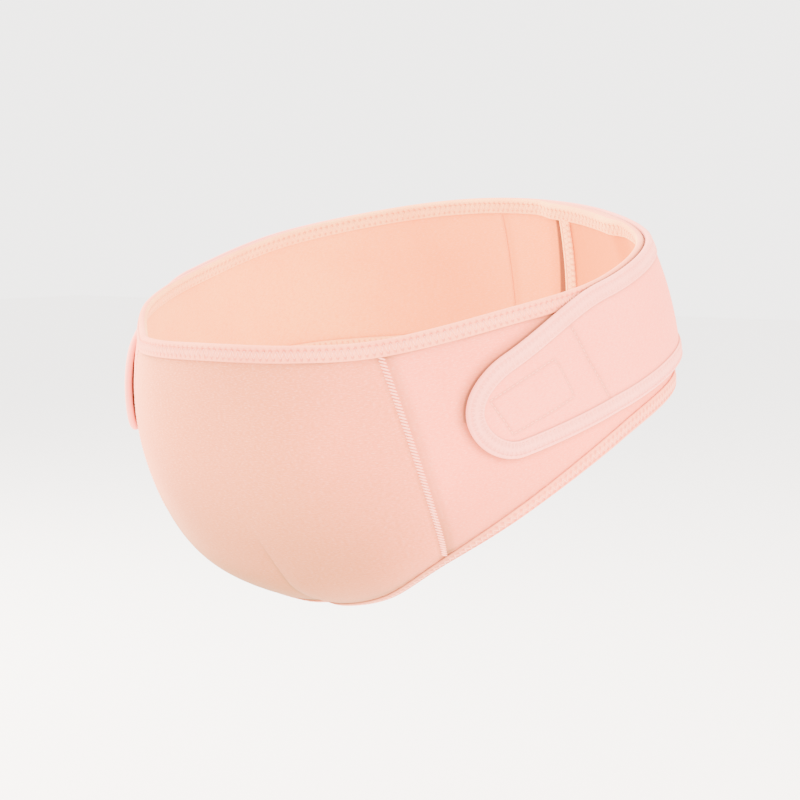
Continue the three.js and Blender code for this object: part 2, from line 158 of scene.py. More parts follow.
@dataclass
class BeltFace:
    """The belt's outer face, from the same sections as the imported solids.

    Each row is a section: rim x, rim y, rise, hem x, hem y, drop, bulge, skew and tuck.
    """

    waist_width: float = 306.0
    front_reach: float = 184.0
    back_reach: float = 113.0
    front_rise: float = 45.0
    rim_climb: float = 81.0
    front_drop: float = 173.0
    back_drop: float = 102.0
    bulge: float = 22.0
    hem_tuck: float = 20.0
    tuck_top: float = 0.8
    dart_depth: float = 2.2
    dart_spread: float = 7.0
    dart_top: float = 0.42
    front_rows: tuple = (
        (0.000, -1.000, 0.000, 0.000, -0.470, 1.000, 1.00, 0.22, 1.00),
        (0.327, -0.940, 0.000, 0.366, -0.500, 0.935, 0.91, 0.22, 0.95),
        (0.575, -0.766, 0.037, 0.667, -0.478, 0.775, 0.64, 0.12, 0.65),
        (0.850, -0.478, 0.222, 0.928, -0.359, 0.670, 0.36, 0.00, 0.25),
        (1.000, -0.082, 0.432, 1.078, -0.033, 0.547, 0.23, 0.00, 0.00),
    )
    back_rows: tuple = (
        (0.902, 0.513, 0.716, 1.026, 0.602, 0.892, 0.23, 0.00, 0.00),
        (0.484, 0.912, 0.926, 0.575, 1.080, 0.961, 0.18, 0.00, 0.00),
        (0.000, 1.000, 1.000, 0.000, 1.212, 1.000, 0.18, 0.00, 0.00),
    )
    nudge: float = 0.002
    samples: int = 24
    wall_samples: int = 16
    ring: np.ndarray = field(init=False)
    lengths: np.ndarray = field(init=False)
    heights: np.ndarray = field(init=False)

    def __post_init__(self) -> None:
        """Lays the sections round the ring and measures girths and heights."""
        left = [self._section(row, self.front_reach, self.front_drop) for row in self.front_rows]
        left += [self._section(row, self.back_reach, self.back_drop) for row in self.back_rows]
        mirror = (-1, 1, 1, -1, 1, 1, 1, 1, 1)
        self.ring = np.array(left + [section * mirror for section in left[1:-1][::-1]])
        self.span = math.hypot(left[1][0] - left[0][0], left[1][1] - left[0][1])
        marks = np.arange((len(left) - 1) * self.samples + 1) / self.samples
        points = self.point(marks, np.full_like(marks, 0.5))
        steps = np.linalg.norm(np.diff(points, axis=0), axis=1)
        self.lengths = np.concatenate([[0.0], np.cumsum(steps)])
        v = np.linspace(0, 1, self.wall_samples + 1)
        walls = self.point(*np.broadcast_arrays(marks[:, None], v[None, :]))
        self.heights = np.linalg.norm(np.diff(walls, axis=1), axis=2).sum(1)

    def _section(self, row: tuple, reach: float, drop: float) -> np.ndarray:
        """Works out one section in millimetres.

        Args:
            row: the section's shares, as in front_rows and back_rows.
            reach: how far the waist reaches that way, front or back.
            drop: the whole fall from rim to hem there.

        Returns:
            Its rim point, hem point, bulge, skew and tuck.
        """
        rim_x, rim_y, rise, hem_x, hem_y, fall, bulge, skew, tuck = row
        half = self.waist_width / 2
        rim_z = self.front_rise + rise * self.rim_climb
        rim = (rim_x * half, rim_y * reach, rim_z)
        hem = (hem_x * half, hem_y * reach, rim_z - fall * drop)
        return np.array([*rim, *hem, bulge * self.bulge, skew, tuck * self.hem_tuck])

    @property
    def half_girth(self) -> float:
        """The way round from the centre front to the centre back."""
        return float(self.lengths[-1])

    def from_front(self, girth: np.ndarray) -> np.ndarray:
        """Returns girths as ways from the centre front, negative by the wearer's right."""
        return np.mod(girth + self.half_girth, 2 * self.half_girth) - self.half_girth

    def sections(self, station: np.ndarray) -> np.ndarray:
        """Runs a smooth curve through the rows of the ring.

        Args:
            station: places round the ring, a whole number at each row.

        Returns:
            A section for each place.
        """
        n = len(self.ring)
        s = np.mod(station, n)
        i = np.floor(s).astype(int)
        u = (s - i)[..., None]
        a, b, c, d = (self.ring[(i + k) % n] for k in (-1, 0, 1, 2))
        cube = 3 * b - a - 3 * c + d
        return b + 0.5 * u * (c - a + u * (2 * a - 5 * b + 4 * c - d + u * cube))

    def point(self, station: np.ndarray, v: np.ndarray) -> np.ndarray:
        """Finds points of the outer face.

        Args:
            station: places round the ring.
            v: shares of the way from the rim at 0 to the hem at 1.

        Returns:
            The points, in millimetres.
        """
        section = self.sections(station)
        rim, chord = section[..., :3], section[..., 3:6] - section[..., :3]
        ahead = self.sections(station + self.nudge)[..., :3]
        along = ahead - self.sections(station - self.nudge)[..., :3]
        out = unit(np.cross(chord, along))
        swell = section[..., 6] * 4 * v * (1 - v) * (1 + section[..., 7] * (1 - 2 * v))
        turn = np.maximum(0.0, v - self.tuck_top) / (1 - self.tuck_top)
        lift = swell - section[..., 8] * turn * turn - self._dart(station, v)
        return rim + chord * v[..., None] + out * lift[..., None]

    def _dart(self, station: np.ndarray, v: np.ndarray) -> np.ndarray:
        """Measures the lower dart at the centre front.

        Args:
            station: places round the ring.
            v: shares of the way from rim to hem.

        Returns:
            How deep the dart dents the face there.
        """
        n = len(self.ring)
        from_front = np.mod(station + n / 2, n) - n / 2
        share = smooth((v - self.dart_top) / (1 - self.dart_top))
        return self.dart_depth * bell(from_front * self.span, self.dart_spread) * share

    def normal(self, station: np.ndarray, v: np.ndarray) -> np.ndarray:
        """Finds the way that the face looks.

        Args:
            station: places round the ring.
            v: shares of the way from rim to hem.

        Returns:
            Outward directions of length 1.
        """
        h = self.nudge
        down = self.point(station, v + h) - self.point(station, v - h)
        along = self.point(station + h, v) - self.point(station - h, v)
        return unit(np.cross(down, along))

    def station_at(self, girth: np.ndarray) -> np.ndarray:
        """Finds the places round the ring at ways round in millimetres.

        Args:
            girth: ways round, which may pass the back or be negative.

        Returns:
            Their stations, which run on past a whole turn as the girths do.
        """
        whole = 2 * self.half_girth
        turns = np.floor(np.asarray(girth, float) / whole)
        g = girth - turns * whole
        folded = np.minimum(g, whole - g)
        marks = np.arange(len(self.lengths)) / self.samples
        s = np.interp(folded, self.lengths, marks)
        n = len(self.ring)
        return np.where(g <= self.half_girth, s, n - s) + turns * n

    def girth_of(self, station: np.ndarray) -> np.ndarray:
        """Measures the way round to places on the ring.

        Args:
            station: places round the ring.

        Returns:
            Their girths, from 0 to the whole girth.
        """
        n = len(self.ring)
        s = np.mod(station, n)
        marks = np.arange(len(self.lengths)) / self.samples
        girth = np.interp(np.minimum(s, n - s), marks, self.lengths)
        return np.where(s <= n - s, girth, 2 * self.half_girth - girth)

    def height_at(self, station: np.ndarray) -> np.ndarray:
        """Measures the cloth from rim to hem.

        Args:
            station: places round the ring.

        Returns:
            The cloth's height at each.
        """
        n = len(self.ring)
        s = np.mod(station, n)
        marks = np.arange(len(self.heights)) / self.samples
        return np.interp(np.minimum(s, n - s), marks, self.heights)

    def place(self, station: np.ndarray, down: np.ndarray, lift: np.ndarray) -> np.ndarray:
        """Finds points on or off the belt.

        Args:
            station: places round the ring.
            down: ways down from the rim.
            lift: ways off the outer face, negative towards the body.

        Returns:
            The points, in millimetres.
        """
        station, down, lift = np.broadcast_arrays(station, down, lift)
        v = down / self.height_at(station)
        return self.point(station, v) + self.normal(station, v) * lift[..., None]

    def out(self, station: np.ndarray, down: np.ndarray) -> np.ndarray:
        """Returns outward directions by station and way down."""
        return self.normal(station, down / self.height_at(station))


@dataclass(frozen=True)
class Closure:
    """The back closure: the left wing's bound end lies inside the right wing."""

    face: BeltFace
    end_top: float = 58.0
    end_hem: float = 40.0
    underlap: float = 54.0
    ease: float = 20.0
    past_end: float = 6.0
    shift: float = 4.2
    edge: float = 1.3

    def end_girth(self, v: np.ndarray) -> np.ndarray:
        """Returns the bound end's girth, v running from rim to hem."""
        top, hem = self.face.half_girth - self.end_top, self.face.half_girth - self.end_hem
        return top + (hem - top) * v

    @property
    def under_end(self) -> float:
        """The girth at which the right wing ends, under the left one's outer face."""
        return float(self.end_girth(0.0)) - self.underlap

    @property
    def lap_full(self) -> float:
        """The girth from which the left wing is fully sunk."""
        return self.under_end - self.edge

    def leaning(self, girth: np.ndarray, v: np.ndarray) -> np.ndarray:
        """Leans columns of cloth with the bound end.

        Args:
            girth: the columns' girths at the rim.
            v: shares of the way from rim to hem.

        Returns:
            The girths moved, most at the bound end and not at all away from it.
        """
        girth, v = np.broadcast_arrays(np.asarray(girth, float), np.asarray(v, float))
        top, half = float(self.end_girth(0.0)), self.face.half_girth
        before = (girth - self.lap_full) / (top - self.lap_full)
        after = (half - girth) / (half - top)
        share = np.clip(np.where(girth < top, before, after), 0.0, 1.0)
        return girth + (self.end_girth(v) - top) * share

    def wing_sink(self, girth: np.ndarray) -> np.ndarray:
        """Returns how far the left wing sinks towards the body."""
        sunk = self.shift * smooth((girth - self.lap_full + self.ease) / self.ease)
        return np.where(girth > self.face.half_girth, 0.0, sunk)

    def tape_sink(self, station: np.ndarray, down: np.ndarray) -> np.ndarray:
        """Measures how far the inner legs of the edge tapes sink over both walls.

        Args:
            station: places round the ring.
            down: ways down from the rim.

        Returns:
            The ways that they sink towards the body.
        """
        girth = self.face.girth_of(station)
        past = girth - self.end_girth(down / self.face.height_at(station)) - self.past_end
        return self.wing_sink(girth) * (1 - smooth(past / self.ease))


# Meshes


@dataclass
class Draft:
    """A mesh in the making, of quads with their UVs, material slots, and painted shade and painted
    shadow at its points.
    """

    points: list = field(default_factory=list)
    shades: list = field(default_factory=list)
    covers: list = field(default_factory=list)
    quads: list = field(default_factory=list)
    uvs: list = field(default_factory=list)
    slots: list = field(default_factory=list)
    count: int = 0
    sharp_angle: float = 62.0

    def add_points(self, points: np.ndarray, shade: np.ndarray | float = 0.0,
                   cover: np.ndarray | float = 0.0) -> np.ndarray:
        """Adds points in millimetres.

        Args:
            points: a grid of points.
            shade: how far each point's colour goes to painted shade, as in soft creases, 0 to 1.
            cover: how far it lies under another piece, which sets its painted shadow, in
                millimetres from COVER_EDGE at that piece's edge, and 0 in the open.

        Returns:
            Their numbers, in the shape of the points' grid.
        """
        shape = points.shape[:-1]
        self.shades.append(np.clip(np.broadcast_to(shade, shape), 0, 1).reshape(-1))
        self.covers.append(np.clip(np.broadcast_to(cover, shape), 0, COVER_MOST).reshape(-1))
        numbers = np.arange(self.count, self.count + int(np.prod(shape))).reshape(shape)
        self.points.append(points.reshape(-1, 3) * MM)
        self.count += numbers.size
        return numbers

    def add_grid(self, numbers: np.ndarray, uv: np.ndarray, slot: np.ndarray | int = 0) -> None:
        """Adds the quads of a grid of point numbers.

        Args:
            numbers: the grid, with a first row or column repeated where it closes.
            uv: UVs of the same shape, in metres.
            slot: the material slot, one number or one for each quad.
        """
        def corners(a: np.ndarray) -> np.ndarray:
            """Returns the four corners of each cell."""
            return np.stack([a[:-1, :-1], a[:-1, 1:], a[1:, 1:], a[1:, :-1]], axis=2)

        quads = corners(numbers).reshape(-1, 4)
        self.quads.append(quads)
        self.uvs.append(corners(uv).reshape(-1, 4, 2))
        spread = quads.shape[:1] if np.ndim(slot) == 0 else np.shape(slot)
        self.slots.append(np.broadcast_to(slot, spread).reshape(-1))

    def build(self, name: str) -> bpy.types.Object:
        """Makes the object, with its faces turned outwards.

        Args:
            name: the piece's name.

        Returns:
            The object, whose place is in its mesh.
        """
        points = np.concatenate(self.points)
        quads = np.concatenate(self.quads)
        uvs = np.concatenate(self.uvs)
        slots = np.concatenate(self.slots)
        a, b, c, d = (points[quads[:, k]] for k in range(4))
        volume = (np.cross(a, b) * c).sum() + (np.cross(a, c) * d).sum()
        if volume < 0:
            quads, uvs = quads[:, ::-1], uvs[:, ::-1]
        mesh = bpy.data.meshes.new(name)
        mesh.from_pydata(points.tolist(), [], quads.tolist())
        layer = mesh.uv_layers.new(name="cloth")
        layer.data.foreach_set("uv", uvs.astype(np.float32).ravel())
        mesh.polygons.foreach_set("material_index", slots.astype(np.int32))
        # The painted shade and the mask of painted shadow, as point attributes
        for tint, values in (("shade", self.shades), ("cover", self.covers)):
            layer = mesh.attributes.new(tint, "FLOAT", "POINT")
            layer.data.foreach_set("value", np.concatenate(values).astype(np.float32))
        mesh.shade_smooth()
        mesh.set_sharp_from_angle(angle=math.radians(self.sharp_angle))
        mesh.update()
        made = bpy.data.objects.new(name, mesh)
        bpy.context.scene.collection.objects.link(made)
        return made


@dataclass(frozen=True)
class Wall:
    """A cloth wall between an outer and an inner grid of points, with soft edges."""

    station: np.ndarray
    down: np.ndarray
    outer: np.ndarray
    inner: np.ndarray
    outer_shade: np.ndarray | float = 0.0
    inner_shade: np.ndarray | float = 0.0
    outer_cover: np.ndarray | float = 0.0
    inner_cover: np.ndarray | float = 0.0

    def build(self, name: str, face: BeltFace) -> bpy.types.Object:
        """Makes the wall on the belt.

        Args:
            name: the piece's name.
            face: the belt's outer face, which the wall's lifts are measured from.

        Returns:
            The wall's object.
        """
        draft = Draft()
        girth = face.girth_of(self.station)
        uv = np.stack([girth, self.down], axis=-1) * MM
        outer = draft.add_points(face.place(self.station, self.down, self.outer),
                                 self.outer_shade, self.outer_cover)
        inner = draft.add_points(face.place(self.station, self.down, self.inner),
                                 self.inner_shade, self.inner_cover)
        draft.add_grid(outer, uv, Skin.OUTER.value)
        draft.add_grid(inner[:, ::-1], uv[:, ::-1], Skin.INNER.value)
        for near, far, edge in (
            (inner[:, 0], outer[:, 0], uv[:, 0]),
            (outer[:, -1], inner[:, -1], uv[:, -1]),
            (outer[0], inner[0], uv[0]),
            (inner[-1], outer[-1], uv[-1]),
        ):
            draft.add_grid(np.stack([near, far], axis=1), np.stack([edge, edge], axis=1))
        return draft.build(name)


@dataclass
class TapePath:
    """A line on the belt that a tape or a row of stitches follows."""

    face: BeltFace
    station: np.ndarray
    down: np.ndarray
    closed: bool
    arc: np.ndarray = field(init=False)
    step: np.ndarray = field(init=False)

    def __post_init__(self) -> None:
        """Measures the path and finds the step square to it at each point."""
        face, station, down = self.face, self.station, self.down
        points = face.place(station, down, 0.0)
        if self.closed:
            tangent = np.roll(points, -1, 0) - np.roll(points, 1, 0)
        else:
            tangent = np.gradient(points, axis=0)
        inward = unit(np.cross(tangent, face.out(station, down)))
        h = face.nudge
        per_station = (face.place(station + h, down, 0.0) - points) / h
        per_down = face.place(station, down + 1.0, 0.0) - points
        a = (per_station * per_station).sum(-1)
        b = (per_station * per_down).sum(-1)
        c = (per_down * per_down).sum(-1)
        e = (inward * per_station).sum(-1)
        f = (inward * per_down).sum(-1)
        det = a * c - b * b
        self.step = np.stack([(e * c - f * b) / det, (f * a - e * b) / det], axis=-1)
        gaps = np.linalg.norm(np.diff(points, axis=0), axis=1)
        self.arc = np.concatenate([[0.0], np.cumsum(gaps)])
        if self.closed:
            n = len(face.ring)
            ahead = station[-1] + (station[-1] - station[-2])
            turn = n * round((ahead - station[0]) / n)
            self.arc = np.append(self.arc, self.arc[-1] + np.linalg.norm(points[0] - points[-1]))
            self.station = np.append(station, station[0] + turn)
            self.down = np.append(down, down[0])
            self.step = np.concatenate([self.step, self.step[:1]])

    @property
    def length(self) -> float:
        """The path's whole length."""
        return float(self.arc[-1])

    def at(self, arc: np.ndarray, across: np.ndarray) -> tuple[np.ndarray, np.ndarray]:
        """Finds places beside the path.

        Args:
            arc: ways along the path.
            across: ways from it into the cloth.

        Returns:
            Stations and ways down.
        """
        arc = np.mod(arc, self.length) if self.closed else arc
        station = np.interp(arc, self.arc, self.station)
        down = np.interp(arc, self.arc, self.down)
        side = np.interp(arc, self.arc, self.step[:, 0])
        drop = np.interp(arc, self.arc, self.step[:, 1])
        return station + side * across, down + drop * across

    def evenly(self, spacing: float) -> "TapePath":
        """Spreads the path's points evenly.

        Args:
            spacing: about how far apart they come to lie.

        Returns:
            The same path with even points.
        """
        count = max(4, round(self.length / spacing))
        arcs = np.linspace(0, self.length, count + 1)
        if self.closed:
            arcs = arcs[:-1]
        station, down = self.at(arcs, np.zeros_like(arcs))
        return TapePath(self.face, station, down, self.closed)


@dataclass(frozen=True)
class FoldedTape:
    """A soft tape folded over an edge of cloth.

    Its section has a puffed outer leg, a round fold and an inner leg. Each row of free_edge is
    a way past the leg's width and the share of the wall by which the skin lies lower there.
    """

    high: float
    low: float
    width: float = TAPE_WIDTH
    wall: float = 1.0
    gap: float = 0.3
    free_edge: tuple = ((0.0, 1.0), (0.12, 0.62), (-0.05, 0.3), (-0.4, 0.12))
    leg_start: float = 0.9
    leg_end: float = 0.2
    leg_points: int = 15
    fold_points: int = 15
    crown: float = 0.32
    crown_stop: float = 0.5
    crown_rest: float = 0.5
    seam_rows: tuple = TAPE_ROWS
    row_depth: float = 0.16
    row_spread: float = 0.55
    puff_spread: float = 3.0
    shift: float = 0.0
    # Painted shade: a dark line at the leg's free edge, and more towards the front
    edge_shade: float = 0.5
    edge_band: float = 0.1
    edge_fade: float = 0.15
    front_shade: float = 0.0
    front: Step = Step(190.0, -90.0)

    @property
    def over(self) -> float:
        """The tape's outer skin above the cloth's face."""
        return self.wall + self.gap

    def leg(self) -> tuple[np.ndarray, np.ndarray]:
        """Draws the outer skin of a leg, from its free edge to the fold.

        Returns:
            Ways across and how far each point lies under the leg's full height.
        """
        round_at = (self.high - self.low) / 2 + self.over
        past, shares = np.array(self.free_edge).T
        flat = np.linspace(self.width - self.leg_start, round_at + self.leg_end, self.leg_points)
        across = np.concatenate([self.width + past, flat])
        under = np.concatenate([self.wall * shares, np.zeros(self.leg_points)])
        middle = (self.width + round_at) / 2
        crown = self.crown * ((across - middle) / (self.width - middle)) ** 2
        rows = sum(self.row_depth * bell(across - row, self.row_spread) for row in self.seam_rows)
        on_leg = across < self.width - self.crown_stop
        return across, under + np.where(on_leg, crown + rows, crown * self.crown_rest)

    def section(self) -> tuple[np.ndarray, np.ndarray, np.ndarray]:
        """Draws the closed section.

        Returns:
            Ways across, shares from the outer leg at 0 to the inner at 1, and lifts.
        """
        across, under = self.leg()
        turn = np.linspace(math.pi / 2, -math.pi / 2, self.fold_points)
        half = (self.high - self.low) / 2 + self.over
        fold = half - half * np.cos(turn)
        fold_share = (1 - np.sin(turn)) / 2
        inner_fold = half - (half - self.wall) * np.cos(turn[::2])
        ways = [across, fold, across[::-1], inner_fold[::-1]]
        shares = [np.zeros_like(across), fold_share, np.ones_like(across), fold_share[::2][::-1]]
        lifts = [-under, np.zeros_like(fold), under[::-1], -self.wall * np.sin(turn[::2])[::-1]]
        return np.concatenate(ways) - self.shift, np.concatenate(shares), np.concatenate(lifts)

    def build(self, name: str, path: TapePath, closure: Closure | None = None,
              swell: float = 0.0, swell_pitch: float = TAPE_PITCH,
              cover: Callable | None = None) -> bpy.types.Object:
        """Makes the tape along a path.

        Args:
            name: the piece's name.
            path: the edge that it is folded over.
            closure: gives how far its inner leg sinks, or None.
            swell: how far the tape puffs up between its stitches.
            swell_pitch: the stitches' pitch, for the puffs.
            cover: gives how far girths and ways down lie under another piece, for its painted
                shadow, or None.

        Returns:
            The tape's object.
        """
        across, share, lift = self.section()
        whole = path.closed
        count = len(path.arc) - 1 if whole else len(path.arc)
        step, arc = path.step[:count], path.arc[:count]
        station = path.station[:count, None] + step[:, :1] * across
        down = path.down[:count, None] + step[:, 1:] * across
        sink = closure.tape_sink(station, down) * share if closure else 0.0
        top, foot = self.high + self.over, self.low - self.over
        pitches = max(1, round(path.length / swell_pitch))
        puff = np.cos(arc * TAU * pitches / path.length)[:, None]
        row_middle = np.mean(self.seam_rows)
        puff = puff * swell * bell(across - row_middle, self.puff_spread) * (1 - 2 * share)
        base = top + (foot - top) * share
        points = path.face.place(station, down, base + lift - sink + puff)
        girth = path.face.girth_of(station)
        from_front = np.minimum(girth, 2 * path.face.half_girth - girth)
        # Painted shade at the free edge and towards the front, and painted shadow where a piece
        # lies on the outer leg
        shade = self.edge_shade * smooth((across - self.width + self.edge_band) / self.edge_fade)
        shade = shade + self.front_shade * self.front.at(from_front)
        under = cover(girth, down) * (share < 0.5) if cover else 0.0
        draft = Draft()
        numbers = draft.add_points(points, shade, under)
        if whole:
            numbers = np.concatenate([numbers, numbers[:1]])
            arc = path.arc
        numbers = np.concatenate([numbers, numbers[:, :1]], axis=1)
        ring_across = np.append(across, across[0])
        uv = np.stack(np.broadcast_arrays(arc[:, None], ring_across[None, :]), axis=-1) * MM
        slots = np.broadcast_to((share > 0.5).astype(int), (len(arc) - 1, len(across)))
        draft.add_grid(numbers, uv, slots)
        if not whole:
            self._cap(draft, numbers, uv)
        return draft.build(name)

    @staticmethod
    def _cap(draft: Draft, numbers: np.ndarray, uv: np.ndarray) -> None:
        """Closes both ends of an open tape with strips across its wall.

        Args:
            draft: the tape's mesh in the making.
            numbers: its points, a row for each section.
            uv: their UVs.
        """
        for row, turned in ((0, False), (-1, True)):
            ring, ring_uv = numbers[row][:-1], uv[row][:-1]
            half = len(ring) // 2
            low, high = ring[:half], ring[len(ring) - half:][::-1]
            low_uv, high_uv = ring_uv[:half], ring_uv[len(ring) - half:][::-1]
            strip = np.stack([low, high], axis=1)
            strip_uv = np.stack([low_uv, high_uv], axis=1)
            if turned:
                strip, strip_uv = strip[:, ::-1], strip_uv[:, ::-1]
            draft.add_grid(strip, strip_uv)


@dataclass
class Threads:
    """Sewing thread on the cloth: one stitch is modelled, and the rest are copies of it."""

    segments: int = 6
    rings: int = 4
    plumpness: float = 0.62
    points: np.ndarray = field(init=False)
    faces: list = field(init=False)

    def __post_init__(self) -> None:
        """Models the one stitch, a pill that lies along X, and keeps its mesh."""
        bpy.ops.object.select_all(action="DESELECT")
        bpy.ops.mesh.primitive_uv_sphere_add(segments=self.segments, ring_count=self.rings,
                                             radius=1.0)
        pill = bpy.context.object
        bpy.ops.object.mode_set(mode="EDIT")
        bpy.ops.mesh.select_all(action="SELECT")
        bpy.ops.transform.rotate(value=math.pi / 2, orient_axis="Y", center_override=(0, 0, 0))
        bpy.ops.object.mode_set(mode="OBJECT")
        mesh = pill.data
        self.points = np.array([v.co for v in mesh.vertices])
        self.faces = [list(p.vertices) for p in mesh.polygons]
        bpy.data.objects.remove(pill)
        bpy.data.meshes.remove(mesh)

    def sew(self, name: str, starts: np.ndarray, ends: np.ndarray, outs: np.ndarray,
            width: float, height: float) -> bpy.types.Object:
        """Copies the stitch between each start and end.

        Args:
            name: the piece's name.
            starts: first points, in millimetres.
            ends: last points, in millimetres.
            outs: the directions that the cloth faces there.
            width: the thread's width.
            height: how thick the thread stands.

        Returns:
            One object of all the stitches.
        """
        along = ends - starts
        middle = (starts + ends) / 2
        side = unit(np.cross(outs, along))
        up = unit(np.cross(along, side))
        pill = self.points
        x = np.sign(pill[:, 0]) * np.abs(pill[:, 0]) ** self.plumpness
        copies = (
            middle[:, None]
            + along[:, None] * (x / 2)[None, :, None]
            + side[:, None] * (pill[:, 1] * width / 2)[None, :, None]
            + up[:, None] * (pill[:, 2] * height / 2)[None, :, None]
        )
        faces = []
        for k in range(len(starts)):
            base = k * len(pill)
            faces += [[base + i for i in f] for f in self.faces]
        mesh = bpy.data.meshes.new(name)
        mesh.from_pydata((copies.reshape(-1, 3) * MM).tolist(), [], faces)
        mesh.shade_smooth()
        mesh.update()
        made = bpy.data.objects.new(name, mesh)
        bpy.context.scene.collection.objects.link(made)
        return made


# Finishes


class Graph:
    """The nodes of one material. Its painted dark line and painted shadow reach a little way under
    a cover.
    """

    specular: float = 0.22
    sheen_roughness: float = 0.45
    # How far the painted dark line and painted shadow reach past and under a piece's edge
    line_width: float = 1.1
    line_under: float = 0.1
    shadow_under: float = 0.2

    def __init__(self, name: str) -> None:
        """Starts an empty material with a Principled shader.

        Args:
            name: the material's name.
        """
        self.material = bpy.data.materials.new(name)
        self.material.use_nodes = True
        self.tree = self.material.node_tree
        self.tree.nodes.clear()
        self.shader = self.tree.nodes.new("ShaderNodeBsdfPrincipled")
        result = self.tree.nodes.new("ShaderNodeOutputMaterial")
        self.join(self.shader.outputs[0], result.inputs[0])
        places = self.tree.nodes.new("ShaderNodeTexCoord")
        self.object = places.outputs["Object"]
        self.uv = places.outputs["UV"]

    def join(self, start: object, end: bpy.types.NodeSocket) -> None:
        """Links a socket to another, or sets a plain value.

        Args:
            start: a socket or a value.
            end: the socket that takes it.
        """
        if isinstance(start, bpy.types.NodeSocket):
            self.tree.links.new(start, end)
        else:
            end.default_value = start

    def math(self, kind: str, a: object, b: object = 0.0) -> bpy.types.NodeSocket:
        """Adds a Math node.

        Args:
            kind: its operation.
            a: its first value.
            b: its second value, where it has one.

        Returns:
            Its result.
        """
        node = self.tree.nodes.new("ShaderNodeMath")
        node.operation = kind
        for value, socket in zip((a, b), node.inputs):
            self.join(value, socket)
        return node.outputs[0]

    def noise(self, vector: bpy.types.NodeSocket, scale: float, detail: float = 2.0,
              roughness: float = 0.5) -> bpy.types.NodeSocket:
        """Adds a noise pattern.

        Args:
            vector: the coordinates that it lies in.
            scale: how fine it is.
            detail: how many finer layers it has.
            roughness: how strong these are.

        Returns:
            The pattern, between 0 and 1.
        """
        node = self.tree.nodes.new("ShaderNodeTexNoise")
        self.join(vector, node.inputs["Vector"])
        node.inputs["Scale"].default_value = scale
        node.inputs["Detail"].default_value = detail
        node.inputs["Roughness"].default_value = roughness
        return node.outputs[0]

    def attribute(self, name: str) -> bpy.types.NodeSocket:
        """Reads a number that the mesh carries at its points.

        Args:
            name: the attribute's name.

        Returns:
            The number.
        """
        node = self.tree.nodes.new("ShaderNodeAttribute")
        node.attribute_type = "GEOMETRY"
        node.attribute_name = name
        return node.outputs["Fac"]

    def shaded(self, tone: object, deep: tuple, under: tuple = PAINTED_SHADOW_LINE, reach: float = 3.0,
               depth: float = 0.24, line: float = 0.57) -> bpy.types.NodeSocket:
        """Adds painted shade in a colour's soft creases and the painted shadow line where a piece
        lies over it.

        Args:
            tone: the plain colour.
            deep: the tone of painted shade in soft creases and of the painted soft shadow.
            under: the tone of the painted shadow line where another piece lies on it.
            reach: how far the painted soft shadow runs out from that piece, in millimetres.
            depth: how strong the painted soft shadow is at the piece.
            line: how strong the painted shadow line is.

        Returns:
            The colour with both.
        """
        cover = self.attribute("cover")
        tone = self.mix(self.attribute("shade"), tone, deep)
        soft = self.ramp(cover, COVER_EDGE - reach, COVER_EDGE + self.shadow_under, 0.0, depth)
        tone = self.mix(soft, tone, deep)
        crisp = self.ramp(cover, COVER_EDGE - self.line_width, COVER_EDGE + self.line_under,
                          0.0, line)
        return self.mix(crisp, tone, under)

    def stretch(self, vector: bpy.types.NodeSocket, scale: tuple) -> bpy.types.NodeSocket:
        """Stretches coordinates.

        Args:
            vector: the coordinates.
            scale: by how much along each axis.

        Returns:
            The stretched coordinates.
        """
        node = self.tree.nodes.new("ShaderNodeMapping")
        self.join(vector, node.inputs["Vector"])
        node.inputs["Scale"].default_value = scale
        return node.outputs[0]

    def ramp(self, value: bpy.types.NodeSocket, low: float, high: float,
             start: float = 0.0, end: float = 1.0) -> bpy.types.NodeSocket:
        """Maps a value smoothly from one range to another.

        Args:
            value: the value.
            low: where its range starts.
            high: where its range ends.
            start: the result at low and below it.
            end: the result at high and above it.

        Returns:
            The mapped value.
        """
        node = self.tree.nodes.new("ShaderNodeMapRange")
        node.interpolation_type = "SMOOTHSTEP"
        for socket, given in zip(node.inputs, (value, low, high, start, end)):
            self.join(given, socket)
        return node.outputs[0]

    def mix(self, share: object, a: object, b: object) -> bpy.types.NodeSocket:
        """Mixes two colours.

        Args:
            share: the share of the second colour.
            a: the first colour.
            b: the second colour.

        Returns:
            The mixed colour.
        """
        node = self.tree.nodes.new("ShaderNodeMix")
        node.data_type = "RGBA"
        self.join(share, node.inputs[0])
        self.join(a, node.inputs[6])
        self.join(b, node.inputs[7])
        return node.outputs[2]

    def split(self, vector: bpy.types.NodeSocket) -> bpy.types.bpy_prop_collection:
        """Takes a vector apart.

        Args:
            vector: the vector.

        Returns:
            Its three parts.
        """
        node = self.tree.nodes.new("ShaderNodeSeparateXYZ")
        self.join(vector, node.inputs[0])
        return node.outputs

    def bump(self, height: bpy.types.NodeSocket, distance: float, strength: float = 1.0,
             before: bpy.types.NodeSocket | None = None) -> bpy.types.NodeSocket:
        """Adds fine relief.

        Args:
            height: the relief's pattern.
            distance: how far the pattern stands up, in millimetres.
            strength: how strongly it shows.
            before: a bumped normal that it is laid over, or None.

        Returns:
            The bumped normal.
        """
        node = self.tree.nodes.new("ShaderNodeBump")
        self.join(height, node.inputs["Height"])
        node.inputs["Distance"].default_value = distance * MM
        node.inputs["Strength"].default_value = strength
        if before is not None:
            self.join(before, node.inputs["Normal"])
        return node.outputs[0]

